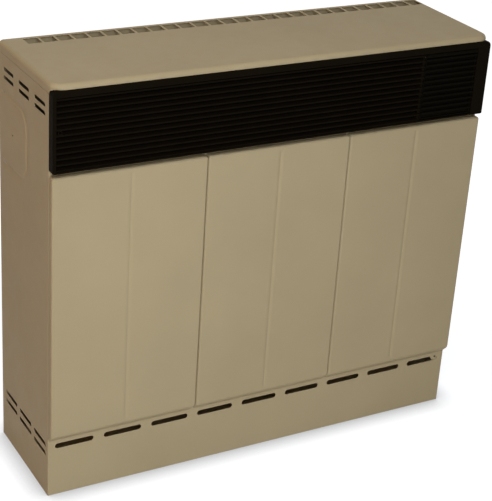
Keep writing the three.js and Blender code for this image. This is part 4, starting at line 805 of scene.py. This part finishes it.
def control_flap():
    """A plate with a barrel along its top, a border, and bars in line with the grille's slats."""
    low, high = flap_low, flap_high
    radius = FLAP_THICKNESS / 2
    y0, y1 = low.y, low.y + FLAP_THICKNESS
    axis_z = high.z - radius
    face = y0 + FLAP_GROOVE
    x0, x1 = low.x, high.x
    barrel = arc((y0 + y1) / 2, axis_z, radius, 0, 180, 10)
    first_groove = (slat_heights()[0] + slat_heights()[1]) / 2
    back_plate = [(y1, low.z), (face, low.z), (face, first_groove), (y0, first_groove), *barrel[::-1]]
    slab = swept(back_plate, x0, x1)
    sharp = [edge for edge in slab.edges if edge.calc_face_angle() > radians(BEVEL_ANGLE)]
    bmesh.ops.bevel(slab, geom=sharp, offset=FINE_EDGE, segments=2, profile=0.5, affect="EDGES")
    meshes = [mesh_of(slab)]
    y_border = y0 + FLAP_BORDER_SETBACK
    border = box_outline(y_border, face + EDGE, low.z, first_groove)
    meshes += [side_plate(border, [], x, x + FLAP_BORDER, BORDER_EDGE) for x in (x0, x1 - FLAP_BORDER)]
    foot = box_outline(x0, x1, low.z, low.z + FLAP_BORDER)
    meshes.append(front_plate(foot, [], y_border, face + EDGE, BORDER_EDGE))
    for z in slat_heights()[1:]:
        if z - SLAT_HEIGHT / 2 > low.z:
            bar = round_box(y0, face + EDGE, z - SLAT_HEIGHT / 2, z + SLAT_HEIGHT / 2, SLAT_NOSE, 4)
            meshes.append(side_plate(bar, [], x0, x1, FINE_EDGE))
    piece("control_flap_panel", joined(meshes), "black_plastic", "control_flap", ["control_flap"])


# ---- Controls
KNOB_SKIRT, KNOB_FLUTES, FLUTE_DEPTH, FLUTE_STEPS = 7 * MM, 24, 0.7 * MM, 6
SKIRT_ROLL, SKIRT_ROLL_STEPS, SKIRT_DISH_INSET, SKIRT_DISH_DEPTH = 2.2 * MM, 6, 6 * MM, 0.8 * MM
GRIP_WIDTH, GRIP_INSET, GRIP_FLAT, GRIP_ROOT = 9 * MM, 2 * MM, 0.2 * MM, 1.5 * MM
# Each ring of the grip, as an inset and a depth from its front
GRIP_RINGS = ((0.3 * MM, 4 * MM), (0.7 * MM, 1.2 * MM), (1.1 * MM, 0.4 * MM), (1.9 * MM, 0))
POINTER_WIDTH, POINTER_DEPTH, POINTER_INSET, POINTER_RISE = 1.4 * MM, 0.5 * MM, 2.4 * MM, 0.02 * MM
BUTTON_STEPS = 30
# Each ring of the button, as a share of its radius and a depth from its tip
BUTTON_RINGS = ((0.35, 0.1 * MM), (0.6, 0.35 * MM), (0.8, 0.8 * MM), (0.93, 1.5 * MM), (1.0, 2.6 * MM),
                (1.0, 7 * MM), (0.86, 7.3 * MM))
BUTTON_STEM = 0.86


def control_knob():
    """A fluted skirt with a rounded edge, a grip across it and a light pointer line on the grip."""
    low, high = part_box("control_knob")
    centre, radius = (low + high) / 2, (high.x - low.x) / 2
    top = high.y - KNOB_SKIRT
    bm = bmesh.new()
    rows = [ring_of(bm, fluted(radius, FLUTE_DEPTH), y, centre) for y in (high.y, top + SKIRT_ROLL)]
    for step in range(1, SKIRT_ROLL_STEPS + 1):
        turn = radians(90 * step / SKIRT_ROLL_STEPS)
        outline = fluted(radius - SKIRT_ROLL * (1 - cos(turn)), FLUTE_DEPTH * cos(turn))
        rows.append(ring_of(bm, outline, top + SKIRT_ROLL * (1 - sin(turn)), centre))
    rows.append(ring_of(bm, fluted(radius - SKIRT_DISH_INSET, 0), top + SKIRT_DISH_DEPTH, centre))
    close_ends(bm, rows)
    piece("knob_skirt", bm, "black_plastic", "control_knob", ["control_knob"], angle=50)

    half, end, front = GRIP_WIDTH / 2, radius - GRIP_INSET, low.y
    bm = bmesh.new()
    rows = []
    for inset, y in [(0, top + GRIP_ROOT)] + [(inset, front + depth) for inset, depth in GRIP_RINGS]:
        across, along = half - inset, end - inset
        rows.append(ring_of(bm, round_box(-across, across, -along, along, across - GRIP_FLAT, 8), y, centre))
    close_ends(bm, rows)
    piece("knob_grip", bm, "black_plastic", "control_knob", angle=50)
    pointer = round_box(centre.x - POINTER_WIDTH / 2, centre.x + POINTER_WIDTH / 2, centre.z + radius / 3,
                        centre.z + end - POINTER_INSET, 0.5 * MM, 4)
    line = joined([front_plate(pointer, [], front, front + POINTER_DEPTH, 0.1 * MM)])
    line.transform(Matrix.Translation((0, -POINTER_RISE, 0)))
    piece("knob_pointer", line, "white_ceramic", "control_knob")


def fluted(size, depth):
    """The skirt's outline, with its flutes cut in from a circle of that size."""
    count = KNOB_FLUTES * FLUTE_STEPS
    turns = [2 * pi * i / count for i in range(count)]
    reach = [size - depth * sin(KNOB_FLUTES * t / 2) ** 2 for t in turns]
    return [(r * cos(t), r * sin(t)) for r, t in zip(reach, turns)]


def piezo_button():
    """A domed push button with a collar behind its cap."""
    low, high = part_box("piezo_button")
    centre, radius = (low + high) / 2, (high.x - low.x) / 2
    rings = [(share, low.y + depth) for share, depth in BUTTON_RINGS] + [(BUTTON_STEM, high.y)]
    bm = bmesh.new()
    rows = [ring_of(bm, circle(radius * share, BUTTON_STEPS), y, centre) for share, y in rings]
    bridge(bm, rows, closed=True)
    tip = bm.verts.new((centre.x, low.y, centre.z))
    for i, vertex in enumerate(rows[0]):
        bm.faces.new((tip, vertex, rows[0][(i + 1) % len(rows[0])]))
    bm.faces.new(rows[-1])
    bmesh.ops.recalc_face_normals(bm, faces=bm.faces)
    piece("piezo_button_cap", bm, "black_rubber", "piezo_button", ["piezo_button"], angle=50)


# ---- Carried-over CAD nodes
def dress_cad_nodes():
    for name, node in nodes.items():
        if node.hide_render:
            continue
        material = FINISH_OF[finish_of_node(name)]
        if node.material_slots:
            for own in node.material_slots:
                own.material = material
        else:
            node.data.materials.append(material)


# ---- Stage
WORLD_LIGHT = (0.1, 0.085, 0.065)
FLOOR_COLOUR, SEEN_FLOOR = (0.7, 0.7, 0.7), (0.27, 0.29, 0.33)
# The first two are the floor's glow and its tint near the object, dimmer and a little blue there as painted
# shade.
PAINTED_SHADE_GLOW, PAINTED_SHADE_TINT, WHITE = 0.92, (0.985, 0.99, 1), (1, 1, 1)
GLOW_NEAR, GLOW_FAR = 0.5, 1.2
# Reach, opening and depth of a painted contact shadow: ambient occlusion that dims the floor's glow right
# below the object.
PAINTED_SHADOW_REACH, PAINTED_SHADOW_OPEN, PAINTED_SHADOW_LEVEL = 0.042, 0.45, 0.4
FLOOR_REACH, FLOOR_DROP = 12, 0.5 * MM
# Each lamp's name, place, target, size, power and colour
LAMPS = (
    ("key", (-0.75, -1.6, 1.48), (-0.1, -0.1, 0.33), 1.0, 21.0, (0.975, 1, 0.96)),
    ("low", (-0.4, -1.5, 0.32), (-0.05, -0.1, 0.2), 0.6, 5.8, (0.98, 1, 0.96)),
    ("top", (-0.4, 0.1, 2.6), (0, 0, 0.66), 1.5, 14.5, (1.08, 1, 0.86)),
    ("left", (-2.3, -0.2, 0.8), (-0.36, 0, 0.33), 1.2, 5.2, (1, 0.42, 0.02)),
)


def add_light(name, place, target, size, power, colour):
    data = bpy.data.lights.new(name, "AREA")
    data.size, data.energy, data.color = size, power, colour
    light = bpy.data.objects.new(name, data)
    light.location = place
    light.rotation_euler = (Vector(target) - Vector(place)).to_track_quat("-Z", "Y").to_euler()
    bpy.context.scene.collection.objects.link(light)


def seen_directly(tree):
    """1 where the camera sees a surface itself, in a mirror or through glass."""
    path = tree.nodes.new("ShaderNodeLightPath")
    total = path.outputs["Is Camera Ray"]
    for name in ("Is Glossy Ray", "Is Transmission Ray"):
        larger = tree.nodes.new("ShaderNodeMath")
        larger.operation = "MAXIMUM"
        tree.links.new(total, larger.inputs[0])
        tree.links.new(path.outputs[name], larger.inputs[1])
        total = larger.outputs["Value"]
    return total


def floor_material():
    """A floor that keeps the object's shadow and glows white away from it, with painted shade: a dimmer,
    bluer glow near the object and a painted contact shadow below it.
    """
    s = Shader("floor")
    diffuse = s.add("BsdfDiffuse")
    s.link(s.mix(seen_directly(s.tree), FLOOR_COLOUR, SEEN_FLOOR), diffuse.inputs["Color"])
    distance = s.add("VectorMath", operation="LENGTH")
    s.link(s.place(), distance.inputs[0])
    # A painted contact shadow: ambient occlusion dims the floor's glow right below the object.
    contact_shadow_ao = s.add("AmbientOcclusion")
    contact_shadow_ao.inputs["Distance"].default_value = PAINTED_SHADOW_REACH
    shade = s.remap(contact_shadow_ao.outputs["AO"], PAINTED_SHADOW_OPEN, 1.0, PAINTED_SHADOW_LEVEL, 1.0)
    glow = s.add("Emission")
    # Painted shade: the glow is dimmer and a little blue near the object, and white further away.
    away = s.remap(distance.outputs["Value"], GLOW_NEAR, GLOW_FAR, 0.0, 1.0)
    s.link(s.mix(away, PAINTED_SHADE_TINT, WHITE), glow.inputs["Color"])
    strength = s.remap(distance.outputs["Value"], GLOW_NEAR, GLOW_FAR, PAINTED_SHADE_GLOW, 1.0)
    for factor in (shade, seen_directly(s.tree)):
        product = s.add("Math", operation="MULTIPLY")
        s.link(strength, product.inputs[0])
        s.link(factor, product.inputs[1])
        strength = product.outputs["Value"]
    s.link(strength, glow.inputs["Strength"])
    both = s.add("AddShader")
    s.link(diffuse.outputs["BSDF"], both.inputs[0])
    s.link(glow.outputs["Emission"], both.inputs[1])
    s.link(both.outputs["Shader"], s.output.inputs["Surface"])
    return s.material


def add_floor():
    bm = bmesh.new()
    corners = box_outline(-FLOOR_REACH, FLOOR_REACH, -FLOOR_REACH, FLOOR_REACH)
    bm.faces.new([bm.verts.new((x, y, cad_low.z - FLOOR_DROP)) for x, y in corners])
    mesh = mesh_of(bm, "floor")
    mesh.materials.append(floor_material())
    floor = bpy.data.objects.new("floor", mesh)
    bpy.context.scene.collection.objects.link(floor)


def add_world():
    """A dim warm world that lights the object, and looks white itself."""
    world = bpy.data.worlds.new("world")
    bpy.context.scene.world = world
    world.use_nodes = True
    tree = world.node_tree
    tree.nodes.clear()
    colour = tree.nodes.new("ShaderNodeMix")
    colour.data_type = "RGBA"
    colour.inputs[6].default_value = (*WORLD_LIGHT, 1)
    colour.inputs[7].default_value = (*WHITE, 1)
    tree.links.new(seen_directly(tree), colour.inputs["Factor"])
    background = tree.nodes.new("ShaderNodeBackground")
    tree.links.new(colour.outputs[2], background.inputs["Color"])
    output = tree.nodes.new("ShaderNodeOutputWorld")
    tree.links.new(background.outputs["Background"], output.inputs["Surface"])


# ---- The scene
bpy.context.scene.view_settings.view_transform = "Standard"
add_camera()
add_floor()
add_world()
for lamp in LAMPS:
    add_light(*lamp)

top_cover()
side_panel("left_side_panel", -1)
side_panel("right_side_panel", 1)
plinth()
painted_shade_plug()
for panel_name in ("front_panel_left", "front_panel_centre", "front_panel_right"):
    front_panel(panel_name)
front_grille()
control_flap()
control_knob()
piezo_button()
dress_cad_nodes()
